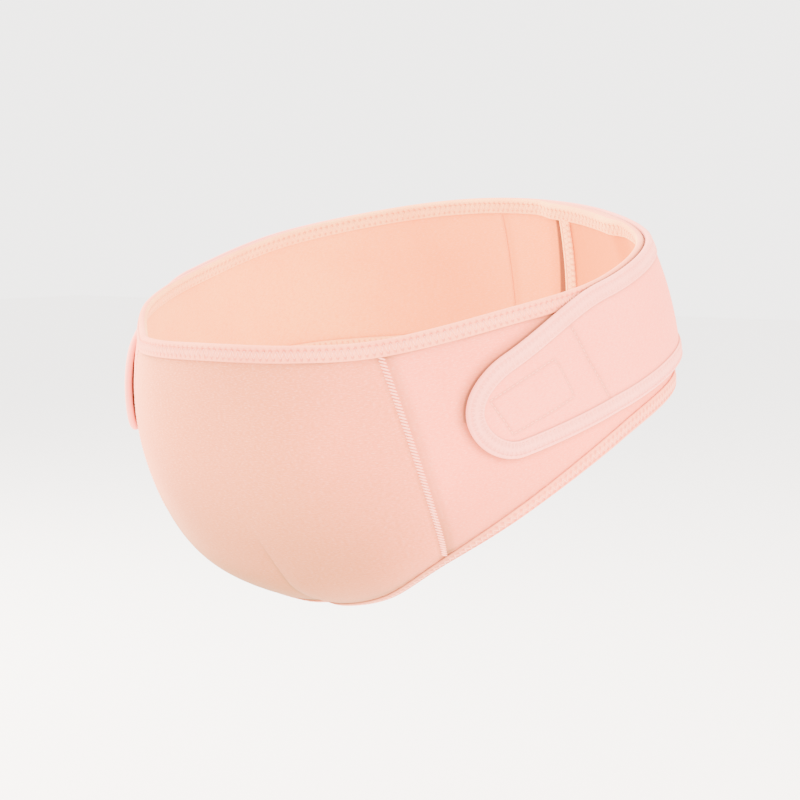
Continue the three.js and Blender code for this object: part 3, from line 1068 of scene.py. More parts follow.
    def soft_shader(self, colour: object, roughness: object, normal: bpy.types.NodeSocket,
                    sheen: float, tint: tuple) -> bpy.types.Material:
        """Sets the shader up as soft cloth.

        Args:
            colour: the cloth's colour.
            roughness: how rough it is.
            normal: its bumped normal.
            sheen: how strongly its nap catches the light.
            tint: the nap's colour.

        Returns:
            The material.
        """
        self.join(colour, self.shader.inputs["Base Color"])
        self.join(roughness, self.shader.inputs["Roughness"])
        self.join(normal, self.shader.inputs["Normal"])
        self.shader.inputs["Specular IOR Level"].default_value = self.specular
        self.shader.inputs["Sheen Weight"].default_value = sheen
        self.shader.inputs["Sheen Roughness"].default_value = self.sheen_roughness
        self.shader.inputs["Sheen Tint"].default_value = tint
        return self.material


@dataclass(frozen=True)
class BrushedCloth:
    """Fine brushed knit: heathered colour, a short nap and faint ribs along the cloth, with painted
    shade, painted shadow and painted light.
    """

    name: str
    colour: tuple
    shade: tuple
    deep: tuple
    mottle: float = 0.42
    nap: float = 0.12
    sheen: float = 0.10
    # Painted shadow beside and under a piece that lies on the cloth: its line's tone, the soft
    # shadow's reach and depth, and the line's depth
    under: tuple = PAINTED_SHADOW_LINE
    shadow_reach: float = 7.2
    shadow_depth: float = 0.42
    line_depth: float = 0.57
    # Painted light and shade: tones laid towards the wearer's left and right, over ranges of the
    # object's x
    left_painted_light: tuple | None = None
    left_painted_light_reach: tuple = (0.020, 0.095)
    right_painted_light: tuple | None = None
    right_painted_light_reach: tuple = (0.035, 0.105)
    cloud_scale: float = 14.0
    cloud_range: tuple = (0.35, 0.7, 0.0, 0.35)
    heather_scale: float = 620.0
    heather_range: tuple = (0.40, 0.68, 0.0)
    rough_range: tuple = (0.3, 0.7, 0.86, 0.97)
    dimple_scale: float = 150.0
    dimple_bump: tuple = (0.16, 0.6)
    nap_bump: float = 0.8
    fibre_scale: tuple = (420.0, 1500.0, 1.0)
    fibre_range: tuple = (0.45, 0.75, 0.0)
    fibre_share: float = 0.6
    fibre_tone: tuple = (0.97, 0.5, 0.38, 1)
    sheen_tint: tuple = (1.0, 0.75, 0.65, 1.0)

    def make(self) -> bpy.types.Material:
        """Makes the material.

        Returns:
            The material.
        """
        g = Graph(self.name)
        cloud = g.noise(g.object, self.cloud_scale, 3.0, 0.55)
        heather = g.noise(g.object, self.heather_scale, 3.0, 0.7)
        fibres = g.noise(g.stretch(g.uv, self.fibre_scale), 1.0, 2.0, 0.6)
        colour = self.colour
        # Painted light and shade towards either side
        for side, tone, reach in ((Side.LEFT, self.left_painted_light, self.left_painted_light_reach),
                                  (Side.RIGHT, self.right_painted_light, self.right_painted_light_reach)):
            if tone is not None:
                sideways = g.math("MULTIPLY", g.split(g.object)[0], float(side.value))
                colour = g.mix(g.ramp(sideways, *reach), colour, tone)
        fibre_mottle = self.mottle * self.fibre_share
        tone = g.mix(g.ramp(cloud, *self.cloud_range), colour, self.shade)
        tone = g.mix(g.ramp(heather, *self.heather_range, self.mottle), tone, self.shade)
        tone = g.mix(g.ramp(fibres, *self.fibre_range, fibre_mottle), tone, self.fibre_tone)
        # Painted shade from the mesh, and painted shadow where a piece lies on the cloth
        tone = g.shaded(tone, self.deep, self.under, self.shadow_reach, self.shadow_depth,
                        self.line_depth)
        nap = g.math("ADD", heather, g.math("MULTIPLY", fibres, self.fibre_share))
        normal = g.bump(g.noise(g.object, self.dimple_scale), *self.dimple_bump)
        normal = g.bump(nap, self.nap, self.nap_bump, normal)
        rough = g.ramp(heather, *self.rough_range)
        return g.soft_shader(tone, rough, normal, self.sheen, self.sheen_tint)


@dataclass(frozen=True)
class SoftTape:
    """Soft binding tape, with painted shade at the needle holes where its stitches go through."""

    name: str
    colour: tuple
    shade: tuple
    deep: tuple
    pitch: float = TAPE_PITCH
    rows: tuple = TAPE_ROWS
    hole_painted_shade: float = 0.8
    hole_shape: float = 0.62
    zigzag: bool = True
    cloud_scale: float = 30.0
    cloud_range: tuple = (0.35, 0.7, 0.0, 0.3)
    weave_scale: tuple = (1700.0, 700.0, 1.0)
    weave_range: tuple = (0.4, 0.7, 0.0, 0.45)
    weave_bump: tuple = (0.10, 0.7)
    hole_bump: tuple = (0.5, 0.9)
    roughness: float = 0.9
    sheen: float = 0.1
    hole_reach: tuple = (0.35, 1.15)
    sheen_tint: tuple = (1.0, 0.8, 0.7, 1.0)

    def _spots(self, g: Graph, row: float, phase: float) -> bpy.types.NodeSocket:
        """Marks the needle holes of one row.

        Args:
            g: the material's nodes.
            row: how far the row lies from the fold.
            phase: by what share of the pitch its holes are moved.

        Returns:
            How near each point is to a hole, 1 at the hole.
        """
        u, v, _ = g.split(g.uv)
        wrapped = g.math("FRACT", g.math("ADD", g.math("DIVIDE", u, self.pitch * MM), phase))
        along = g.math("MULTIPLY", g.math("SUBTRACT", wrapped, 0.5), self.pitch)
        across = g.math("SUBTRACT", g.math("DIVIDE", v, MM), row)
        tall = g.math("MULTIPLY", across, self.hole_shape)
        squares = g.math("ADD", g.math("MULTIPLY", along, along), g.math("MULTIPLY", tall, tall))
        return g.ramp(g.math("SQRT", squares), *self.hole_reach, 1.0, 0.0)

    def make(self) -> bpy.types.Material:
        """Makes the material.

        Returns:
            The material.
        """
        g = Graph(self.name)
        first = self._spots(g, self.rows[0], 0.0)
        second = self._spots(g, self.rows[1], 0.5 if self.zigzag else 0.0)
        holes = g.math("MAXIMUM", first, second)
        cloud = g.noise(g.object, self.cloud_scale, 3.0, 0.55)
        weave = g.noise(g.stretch(g.uv, self.weave_scale), 1.0, 2.0, 0.6)
        tone = g.mix(g.ramp(cloud, *self.cloud_range), self.colour, self.shade)
        tone = g.mix(g.ramp(weave, *self.weave_range), tone, self.shade)
        # Painted shade at the needle holes, then painted shade and painted shadow from the mesh
        tone = g.mix(g.math("MULTIPLY", holes, self.hole_painted_shade), tone, self.shade)
        tone = g.shaded(tone, self.deep)
        normal = g.bump(weave, *self.weave_bump)
        normal = g.bump(g.math("SUBTRACT", 1.0, holes), *self.hole_bump, normal)
        return g.soft_shader(tone, self.roughness, normal, self.sheen, self.sheen_tint)


@dataclass(frozen=True)
class SewingThread:
    """Soft overlocking thread with a faint twist."""

    name: str
    colour: tuple
    shade: tuple
    twist_scale: float = 1500.0
    twist_range: tuple = (0.35, 0.7, 0.0, 0.5)
    twist_bump: tuple = (0.08, 0.6)
    roughness: float = 0.72
    sheen: float = 0.08
    sheen_tint: tuple = (1.0, 0.85, 0.78, 1.0)

    def make(self) -> bpy.types.Material:
        """Makes the material.

        Returns:
            The material.
        """
        g = Graph(self.name)
        twist = g.noise(g.object, self.twist_scale, 1.0, 0.5)
        tone = g.mix(g.ramp(twist, *self.twist_range), self.colour, self.shade)
        normal = g.bump(twist, *self.twist_bump)
        return g.soft_shader(tone, self.roughness, normal, self.sheen, self.sheen_tint)


@dataclass(frozen=True)
class HookPatch:
    """Hook-and-loop tape: a dense short pile with rows of hooks."""

    name: str
    colour: tuple
    shade: tuple
    pile_scale: float = 900.0
    pile_range: tuple = (0.1, 0.6, 0.0, 0.8)
    pile_bump: tuple = (0.4, 0.9)
    roughness: float = 0.8
    sheen: float = 0.1
    sheen_tint: tuple = (1.0, 0.95, 0.92, 1.0)

    def make(self) -> bpy.types.Material:
        """Makes the material.

        Returns:
            The material.
        """
        g = Graph(self.name)
        node = g.tree.nodes.new("ShaderNodeTexVoronoi")
        g.join(g.object, node.inputs["Vector"])
        node.inputs["Scale"].default_value = self.pile_scale
        pile = node.outputs["Distance"]
        tone = g.mix(g.ramp(pile, *self.pile_range), self.colour, self.shade)
        normal = g.bump(pile, *self.pile_bump)
        return g.soft_shader(tone, self.roughness, normal, self.sheen, self.sheen_tint)


@dataclass(frozen=True)
class StudioPaper:
    """Plain pale paper for the floor."""

    name: str = "studio_paper"
    colour: tuple = (0.93, 0.92, 0.91, 1.0)
    roughness: float = 0.9
    specular: float = 0.1

    def make(self) -> bpy.types.Material:
        """Makes the material.

        Returns:
            The material.
        """
        g = Graph(self.name)
        g.shader.inputs["Base Color"].default_value = self.colour
        g.shader.inputs["Roughness"].default_value = self.roughness
        g.shader.inputs["Specular IOR Level"].default_value = self.specular
        return g.material


@dataclass(frozen=True)
class Wardrobe:
    """Every material of the belt."""

    belly: bpy.types.Material
    wing: bpy.types.Material
    lining: bpy.types.Material
    edge: bpy.types.Material
    edge_inner: bpy.types.Material
    band: bpy.types.Material
    band_edge: bpy.types.Material
    thread: bpy.types.Material
    inner_thread: bpy.types.Material
    seam_thread: bpy.types.Material
    patch: bpy.types.Material

    @staticmethod
    def make() -> "Wardrobe":
        """Makes every material once.

        Returns:
            All of them.
        """
        # Tones of painted shade in creases and of painted soft shadow
        olive_painted_shade = (0.14, 0.085, 0.020, 1.0)
        rust_painted_shade = (0.16, 0.070, 0.024, 1.0)
        amber_painted_shade = (0.60, 0.145, 0.012, 1.0)
        return Wardrobe(
            # The belly and the lining take painted light towards either side
            belly=BrushedCloth("belly_fabric", (0.71, 0.202, 0.080, 1), (0.62, 0.152, 0.060, 1),
                               olive_painted_shade, left_painted_light=(0.82, 0.184, 0.091, 1),
                               right_painted_light=(0.90, 0.285, 0.125, 1)).make(),
            wing=BrushedCloth("wing_fabric", (0.96, 0.215, 0.125, 1), (0.88, 0.150, 0.080, 1),
                              olive_painted_shade).make(),
            lining=BrushedCloth("lining", (0.96, 0.315, 0.076, 1), (0.88, 0.238, 0.046, 1),
                                # The lining's painted shadow line, by the left wing's bound end, is
                                # deeper
                                amber_painted_shade, under=(0.150, 0.034, 0.008, 1), line_depth=0.92,
                                left_painted_light=(0.96, 0.252, 0.032, 1), left_painted_light_reach=(0.0, 0.06),
                                right_painted_light=(0.98, 0.40, 0.112, 1),
                                right_painted_light_reach=(0.06, 0.14)).make(),
            edge=SoftTape("edge_binding", (0.97, 0.315, 0.17, 1), (0.82, 0.17, 0.09, 1),
                          rust_painted_shade).make(),
            edge_inner=SoftTape("edge_binding_inner", (0.98, 0.48, 0.185, 1),
                                (0.84, 0.24, 0.08, 1), amber_painted_shade).make(),
            band=BrushedCloth("band_fabric", (0.97, 0.235, 0.155, 1), (0.90, 0.165, 0.10, 1),
                              rust_painted_shade).make(),
            band_edge=SoftTape("band_binding", (0.97, 0.34, 0.26, 1), (0.90, 0.22, 0.15, 1), rust_painted_shade,
                               pitch=3.0, hole_painted_shade=0.16, zigzag=False).make(),
            thread=SewingThread("thread", (0.98, 0.40, 0.27, 1), (0.93, 0.29, 0.18, 1)).make(),
            inner_thread=SewingThread("inner_thread", (0.98, 0.48, 0.22, 1),
                                      (0.92, 0.36, 0.14, 1)).make(),
            seam_thread=SewingThread("seam_thread", (0.86, 0.27, 0.07, 1),
                                     (0.66, 0.17, 0.035, 1)).make(),
            patch=HookPatch("fastening_patch", (0.90, 0.28, 0.19, 1), (0.75, 0.18, 0.11, 1)).make(),
        )


def dress(piece: bpy.types.Object, slot: str, *materials: bpy.types.Material) -> None:
    """Gives a piece its materials, logs its triangles, and lets it ride on the belt.

    Args:
        piece: the piece.
        slot: not used.
        materials: its materials, outer face first.
    """
    for material in materials:
        piece.data.materials.append(material)
    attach(piece, "root")
    count = sum(len(p.vertices) - 2 for p in piece.data.polygons)
    LOG.info("%s: %d triangles", piece.name, count)


# Sub-assemblies


@dataclass(frozen=True)
class OuterPaintedShade:
    """Painted shade on the panels' outer face: how deep the colour goes along seams, tapes and the
    dart, and towards the lower belly, the hem and the wing's foot.

    A step whose name ends in down is in shares of the way from rim to hem, and one whose name
    ends in round is in millimetres round from the centre front.
    """

    seam_line: Line = Line(0.30, 0.8, 2.3)
    seam_shadow: Line = Line(0.26, 3.2, 4.6)
    rim_line: float = 0.30
    hem_line: float = 0.16
    tape_line: Line = Line(1.0, 0.7, 0.1)
    tape_shadow: Line = Line(0.10, 4.0)
    crease: Line = Line(0.18, 0.9)
    crease_down: Step = Step(0.56, 0.16)
    # Painted shade darker towards the lower belly and the hem, less on the belly's far side where
    # the light falls
    belly_depth: float = 0.46
    belly_down: Step = Step(0.25, 0.55)
    belly_round: Step = Step(146.0, -90.0)
    far_relief: float = 0.7
    far_round: Step = Step(-45.0, -50.0)
    far_down: Step = Step(0.5, 0.25)
    hem_depth: float = 0.34
    hem_down: Step = Step(0.72, 0.2)
    hem_round: Step = Step(45.0, -80.0)
    # Painted shade on the wing's lower part and beside the belly seam
    wing_depth: float = 0.16
    wing_down: Step = Step(0.5, 0.45)
    wing_round: Step = Step(235.0, -80.0)
    wing_seam: Line = Line(0.14, 14.0, 6.0)
    wing_seam_down: Step = Step(0.6, 0.3)

    def at(self, g: np.ndarray, past: np.ndarray, from_tape: np.ndarray,
           v: np.ndarray) -> np.ndarray:
        """Works out the tone.

        Args:
            g: ways round from the centre front, negative by the wearer's right.
            past: how far they lie past a belly seam.
            from_tape: how far they lie from the nearer edge tape.
            v: shares of the way from rim to hem.

        Returns:
            How deep the colour is, 0 to 1.
        """
        tape = np.where(v > 0.5, self.hem_line, self.rim_line)
        shade = self.seam_line.at(np.abs(past)) + self.seam_shadow.at(past) * (past > 0)
        shade = shade + tape * self.tape_line.at(from_tape) + self.tape_shadow.at(from_tape)
        shade = shade + self.crease.at(g) * self.crease_down.at(v)
        far = self.far_relief * self.far_round.at(g) * (1 - self.far_down.at(v))
        belly = self.belly_depth * self.belly_down.at(v) * self.belly_round.at(g) * (1 - far)
        belly = belly + self.hem_depth * self.hem_down.at(v) * self.hem_round.at(g)
        wing = self.wing_depth * self.wing_down.at(v) * self.wing_round.at(np.abs(g))
        wing = wing + self.wing_seam_down.at(v) * self.wing_seam.at(past)
        return shade + belly * (past < 0) + wing * (past > 0)


@dataclass(frozen=True)
class InnerPaintedShade:
    """Painted shade on the lining: how deep its colour goes along seams, tapes and the back
    closure.
    """

    tape_line: Line = Line(0.30, 0.8, 0.1)
    tape_shadow: Line = Line(0.08, 4.0)
    seam_line: Line = Line(0.20, 1.6, 2.9)
    back_line: Line = Line(0.45, 0.9)
    back_shadow: Line = Line(0.20, 2.6, -3.5)
    # Painted shade towards the back, deepest on the left wing's inner face before its bound end
    under_depth: float = 0.75
    open_depth: float = 0.12
    towards_back: Step = Step(240.0, 120.0)


@dataclass
class Panels:
    """The cup panel and the two wings, with the seams between them."""

    face: BeltFace
    closure: Closure
    finishes: Wardrobe
    threads: Threads
    cover: Callable
    wall: float = CLOTH_WALL
    seam: float = 116.0
    gap: float = 0.3
    tape: float = TAPE_WIDTH
    hidden: float = 2.3
    column_step: float = 1.4
    rows: int = 92
    outer_painted_shade: OuterPaintedShade = OuterPaintedShade()
    inner_painted_shade: InnerPaintedShade = InnerPaintedShade()
    pucker: float = 0.16
    pucker_fade: float = 6.0
    seam_room: float = 0.1
    seam_waves: Waves = Waves(7.3, 0.9, 11.0)
    tape_waves: Waves = Waves(8.7, 1.3, 19.0)
    tape_share: float = 0.6
    seam_dip: float = 0.7
    seam_spread: float = 3.4
    tape_dent: Line = Line(0.30, 1.8)
    crease: Line = Line(0.70, 1.5)
    crease_down: Step = Step(0.54, 0.2)
    under_tape: Step = Step(-6.0, 6.0)
    rung: Stitch = Stitch(2.15, 3.9, 1.35, 1.3)
    rung_slant: float = 1.15
    rung_past_tape: float = 1.5
    rung_sunk: float = 0.35
    back_stitch: Stitch = Stitch(1.5, 1.7, 1.1, 0.8)
    back_past_tape: float = 1.0
    thread_out: float = 0.05
    thread_in: float = 0.1
    # Painted shadow beside the left wing's bound end, on the right wing's inner face
    lap_shadow: float = 8.8
    lap_before: float = 8.0
    lap_line: float = 1.1
    lap_slope: float = 0.6

    def _relief(self, girth: np.ndarray, down: np.ndarray, height: np.ndarray) -> np.ndarray:
        """Works out the small dips and puckers of the cloth beside its seams.

        Args:
            girth: ways round.
            down: ways down from the rim.
            height: the cloth's height there.

        Returns:
            Lifts off the outer face.
        """
        g = self.face.from_front(girth)
        from_seam = np.abs(np.abs(g) - self.seam)
        from_tape = np.minimum(down, height - down) - self.tape
        beside_seam = np.exp(-from_seam / self.pucker_fade) * (from_seam > self.seam_room)
        beside_tape = np.exp(-np.maximum(from_tape, 0) / self.pucker_fade)
        puckers = self.seam_waves.at(down, np.sign(g)) * beside_seam
        puckers = puckers + self.tape_share * self.tape_waves.at(g) * beside_tape
        dents = self.seam_dip * bell(from_seam, self.seam_spread) + self.tape_dent.at(from_tape)
        dents = dents + self.crease.at(g) * self.crease_down.at(down / height)
        return (self.pucker * puckers - dents) * self.under_tape.at(from_tape)

    def _outer_shade(self, girth: np.ndarray, down: np.ndarray, height: np.ndarray) -> np.ndarray:
        """Works out the outer face's painted shade.

        Args:
            girth: ways round.
            down: ways down from the rim.
            height: the cloth's height there.

        Returns:
            How deep the colour is, 0 to 1.
        """
        g = self.face.from_front(girth)
        from_tape = np.minimum(down, height - down) - self.tape
        return self.outer_painted_shade.at(g, np.abs(g) - self.seam, from_tape, down / height)

    def _inner_shade(self, girth: np.ndarray, down: np.ndarray, height: np.ndarray) -> np.ndarray:
        """Works out the inner face's painted shade.

        Args:
            girth: ways round.
            down: ways down from the rim.
            height: the cloth's height there.

        Returns:
            How deep the colour is, 0 to 1.
        """
        tones, from_back = self.inner_painted_shade, girth - self.face.half_girth
        from_seam = np.abs(np.abs(self.face.from_front(girth)) - self.seam)
        from_tape = np.minimum(down, height - down) - self.tape
        past = girth - self.closure.end_girth(down / height) - self.closure.edge
        lap = np.where(past < 0, tones.under_depth, tones.open_depth)
        shade = tones.tape_line.at(from_tape) + tones.tape_shadow.at(from_tape)
        shade = shade + tones.seam_line.at(from_seam)
        shade = shade + tones.back_line.at(from_back) + tones.back_shadow.at(from_back)
        return shade + lap * tones.towards_back.at(girth)

    def _lap_cover(self, girth: np.ndarray, v: np.ndarray) -> np.ndarray:
        """Works out the painted shadow of the left wing's end on the right wing's inner face.

        Args:
            girth: ways round.
            v: shares of the way from rim to hem.

        Returns:
            How far each place lies in it, as the mesh attribute cover.
        """
        past = girth - self.closure.end_girth(v) - self.closure.edge
        cover = COVER_EDGE - self.lap_line + (self.lap_shadow - past) * self.lap_slope
        return np.where(past > -self.lap_before, cover, 0.0)

    def _panel(self, name: str, first: float, last: float, sinks: bool) -> bpy.types.Object:
        """Makes one panel between two girths.

        Args:
            name: the piece's name.
            first: the girth that it starts at.
            last: the girth that it ends at, further round by the wearer's left.
            sinks: whether it sinks under the other wing.

        Returns:
            The panel's object.
        """
        count = int(round((last - first) / self.column_step))
        columns = np.linspace(first, last, count + 1)[:, None]
        v = np.linspace(0.0, 1.0, self.rows + 1)[None, :]
        girth = self.closure.leaning(columns, v)
        station = self.face.station_at(girth)
        height = self.face.height_at(station)
        down = self.hidden + (height - 2 * self.hidden) * v
        sink = self.closure.wing_sink(girth) if sinks else np.zeros_like(girth)
        lift = self._relief(girth, down, height) - sink
        # Painted shade on both faces; painted shadow under the band outside, and beside the left
        # wing's end inside
        return Wall(
            station, down, lift, lift - self.wall,
            self._outer_shade(girth, down, height), self._inner_shade(girth, down, height),
            self.cover(girth, down), 0.0 if sinks else self._lap_cover(girth, v),
        ).build(name, self.face)

    def _rungs(self, name: str, side: Side, skin: Skin) -> bpy.types.Object:
        """Sews the ladder of thread over one belly seam.

        Args:
            name: the piece's name.
            side: the seam's side.
            skin: the face that the thread lies on.

        Returns:
            The ladder's object.
        """
        girth = side.value * self.seam
        station = float(self.face.station_at(np.array(girth)))
        height = float(self.face.height_at(np.array(station)))
        start = self.tape - self.rung_past_tape
        down = np.arange(start, height - start, self.rung.pitch)
        half = self.rung.length / 2
        slant = self.rung_slant * side.value
        near = self.face.station_at(np.full_like(down, girth - half))
        far = self.face.station_at(np.full_like(down, girth + half))
        lift = self.thread_out - self.seam_dip * self.rung_sunk
        if skin is Skin.INNER:
            lift = -self.wall - self.seam_dip - self.thread_in
        starts = self.face.place(near, down - slant, lift)
        ends = self.face.place(far, down + slant, lift)
        outs = self.face.out(np.full_like(down, station), down)
        return self.threads.sew(name, starts, ends, outs, self.rung.width, self.rung.height)

    def _back_seam(self) -> bpy.types.Object:
        """Sews the soft seam that runs down the inside at the centre back.

        Returns:
            The seam's object.
        """
        stitch, lift = self.back_stitch, -self.wall - self.thread_in
        middle = float(self.face.station_at(np.array(self.face.half_girth)))
        height = float(self.face.height_at(np.array(middle)))
        start = self.tape - self.back_past_tape
        marks = np.arange(start, height - start, stitch.pitch)
        station = np.full(len(marks), middle)
        starts = self.face.place(station, marks, lift)
        ends = self.face.place(station, marks + stitch.length, lift)
        outs = self.face.out(station, marks)
        return self.threads.sew("centre_back_seam", starts, ends, outs, stitch.width,
                                stitch.height)

    def build(self) -> list[bpy.types.Object]:
        """Makes and dresses the panels and their seams.

        Returns:
            Their objects.
        """
        f, gap = self.finishes, self.gap / 2
        whole = 2 * self.face.half_girth
        end = float(self.closure.end_girth(0.0))
        belly = self._panel("belly_cloth", -self.seam + gap, self.seam - gap, False)
        left = self._panel("left_wing_cloth", self.seam + gap, end, True)
        right = self._panel("right_wing_cloth", self.closure.under_end, whole - self.seam - gap,
                            False)
        for piece, node, slot, outer in (
            (belly, "belly_panel", "belly_fabric", f.belly),
            (left, "wing_left", "wing_fabric", f.wing),
            (right, "wing_right", "wing_fabric", f.wing),
        ):
            dress(piece, slot, outer, f.lining)
            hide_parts(node)
        seams = []
        for side in Side:
            for skin in Skin:
                name = f"{side.name.lower()}_seam_{skin.name.lower()}"
                seams.append(self._rungs(name, side, skin))
                dress(seams[-1], "edge_binding", f.thread if skin is Skin.OUTER else f.inner_thread)
        back_seam = self._back_seam()
        dress(back_seam, "wing_fabric", f.seam_thread)
        return [belly, left, right, *seams, back_seam]


@dataclass
class EdgeTapes:
    """The rim, hem and back end tapes, with their zigzag rows."""

    face: BeltFace
    closure: Closure
    finishes: Wardrobe
    threads: Threads
    cover: Callable
    wall: float = CLOTH_WALL
    spacing: float = 1.3
    pitch: float = TAPE_PITCH
    rows: tuple = TAPE_ROWS
    thread_width: float = 0.62
    thread_height: float = 0.5
    thread_sunk: float = 0.05
    swell: float = 0.10
    end_reach: tuple = (0.085, 0.915)
    edge_points: int = 400
    end_points: int = 60

    def _edge(self, at_hem: bool) -> TapePath:
        """Follows a whole edge of the belt.

        Args:
            at_hem: whether it is the hem, which runs the other way, or the rim.

        Returns:
            The path.
        """
        girth = np.linspace(0, 2 * self.face.half_girth, self.edge_points, endpoint=False)
        station = self.face.station_at(girth)
        down = np.zeros_like(station)
        if at_hem:
            station = station[::-1]
            down = self.face.height_at(station)
        return TapePath(self.face, station, down, True).evenly(self.spacing)

    def _end(self) -> TapePath:
        """Follows the left wing's free end downwards.

        Returns:
            The path.
        """
        v = np.linspace(*self.end_reach, self.end_points)
        station = self.face.station_at(self.closure.end_girth(v))
        down = self.face.height_at(station) * v
        return TapePath(self.face, station, down, False).evenly(self.spacing)

    def _zigzag(self, name: str, path: TapePath, skin: Skin, tape: FoldedTape,
                sinks: bool) -> bpy.types.Object:
        """Sews a zigzag row along a tape.

        Args:
            name: the piece's name.
            path: the edge that the tape is folded over.
            skin: the face that the row lies on.
            tape: the tape.
            sinks: whether the tape's inner leg sinks over both wings' walls.

        Returns:
            The row's object.
        """
        count = 2 * max(1, round(path.length / self.pitch))
        pitch = path.length / count
        turns = np.arange(count + 1) * pitch + pitch
        rows = np.where(np.arange(count + 1) % 2 == 0, self.rows[0], self.rows[1]) - tape.shift
        station, down = path.at(turns, rows)
        if skin is Skin.OUTER:
            lift = np.full_like(down, tape.high + tape.over - self.thread_sunk)
        else:
            lift = np.full_like(down, tape.low - tape.over + self.thread_sunk)
            if sinks:
                lift = lift - self.closure.tape_sink(station, down)
        points = self.face.place(station, down, lift)
        outs = self.face.out(station, down)
        return self.threads.sew(name, points[:-1], points[1:], outs[:-1], self.thread_width,
                                self.thread_height)

    def build(self) -> list[bpy.types.Object]:
        """Makes and dresses the tapes and their stitches.

        Returns:
            Their objects.
        """
        f = self.finishes
        made = []
        plain = FoldedTape(high=0.0, low=-self.wall)
        # The hem tape has less painted shade at its edge and more towards the front
        hem = FoldedTape(high=0.0, low=-self.wall, edge_shade=0.26, front_shade=0.42)
        shift = self.closure.shift
        bound = FoldedTape(high=-shift, low=-self.wall - shift, shift=self.closure.edge)
        for node, path, tape, closure in (
            ("rim_binding", self._edge(False), plain, self.closure),
            ("hem_binding", self._edge(True), hem, self.closure),
            ("back_end_binding", self._end(), bound, None),
        ):
            name = node.replace("binding", "tape")
            piece = tape.build(name, path, closure, self.swell, self.pitch,
                               self.cover if closure else None)
            dress(piece, "edge_binding", f.edge, f.edge_inner)
            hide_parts(node)
            stitches = []
            for skin in Skin:
                thread = f.thread if skin is Skin.OUTER else f.inner_thread
                row = self._zigzag(f"{name}_zigzag_{skin.name.lower()}", path, skin, tape,
                                   closure is not None)
                dress(row, "edge_binding", thread)
                stitches.append(row)
            made += [piece, *stitches]
        return made


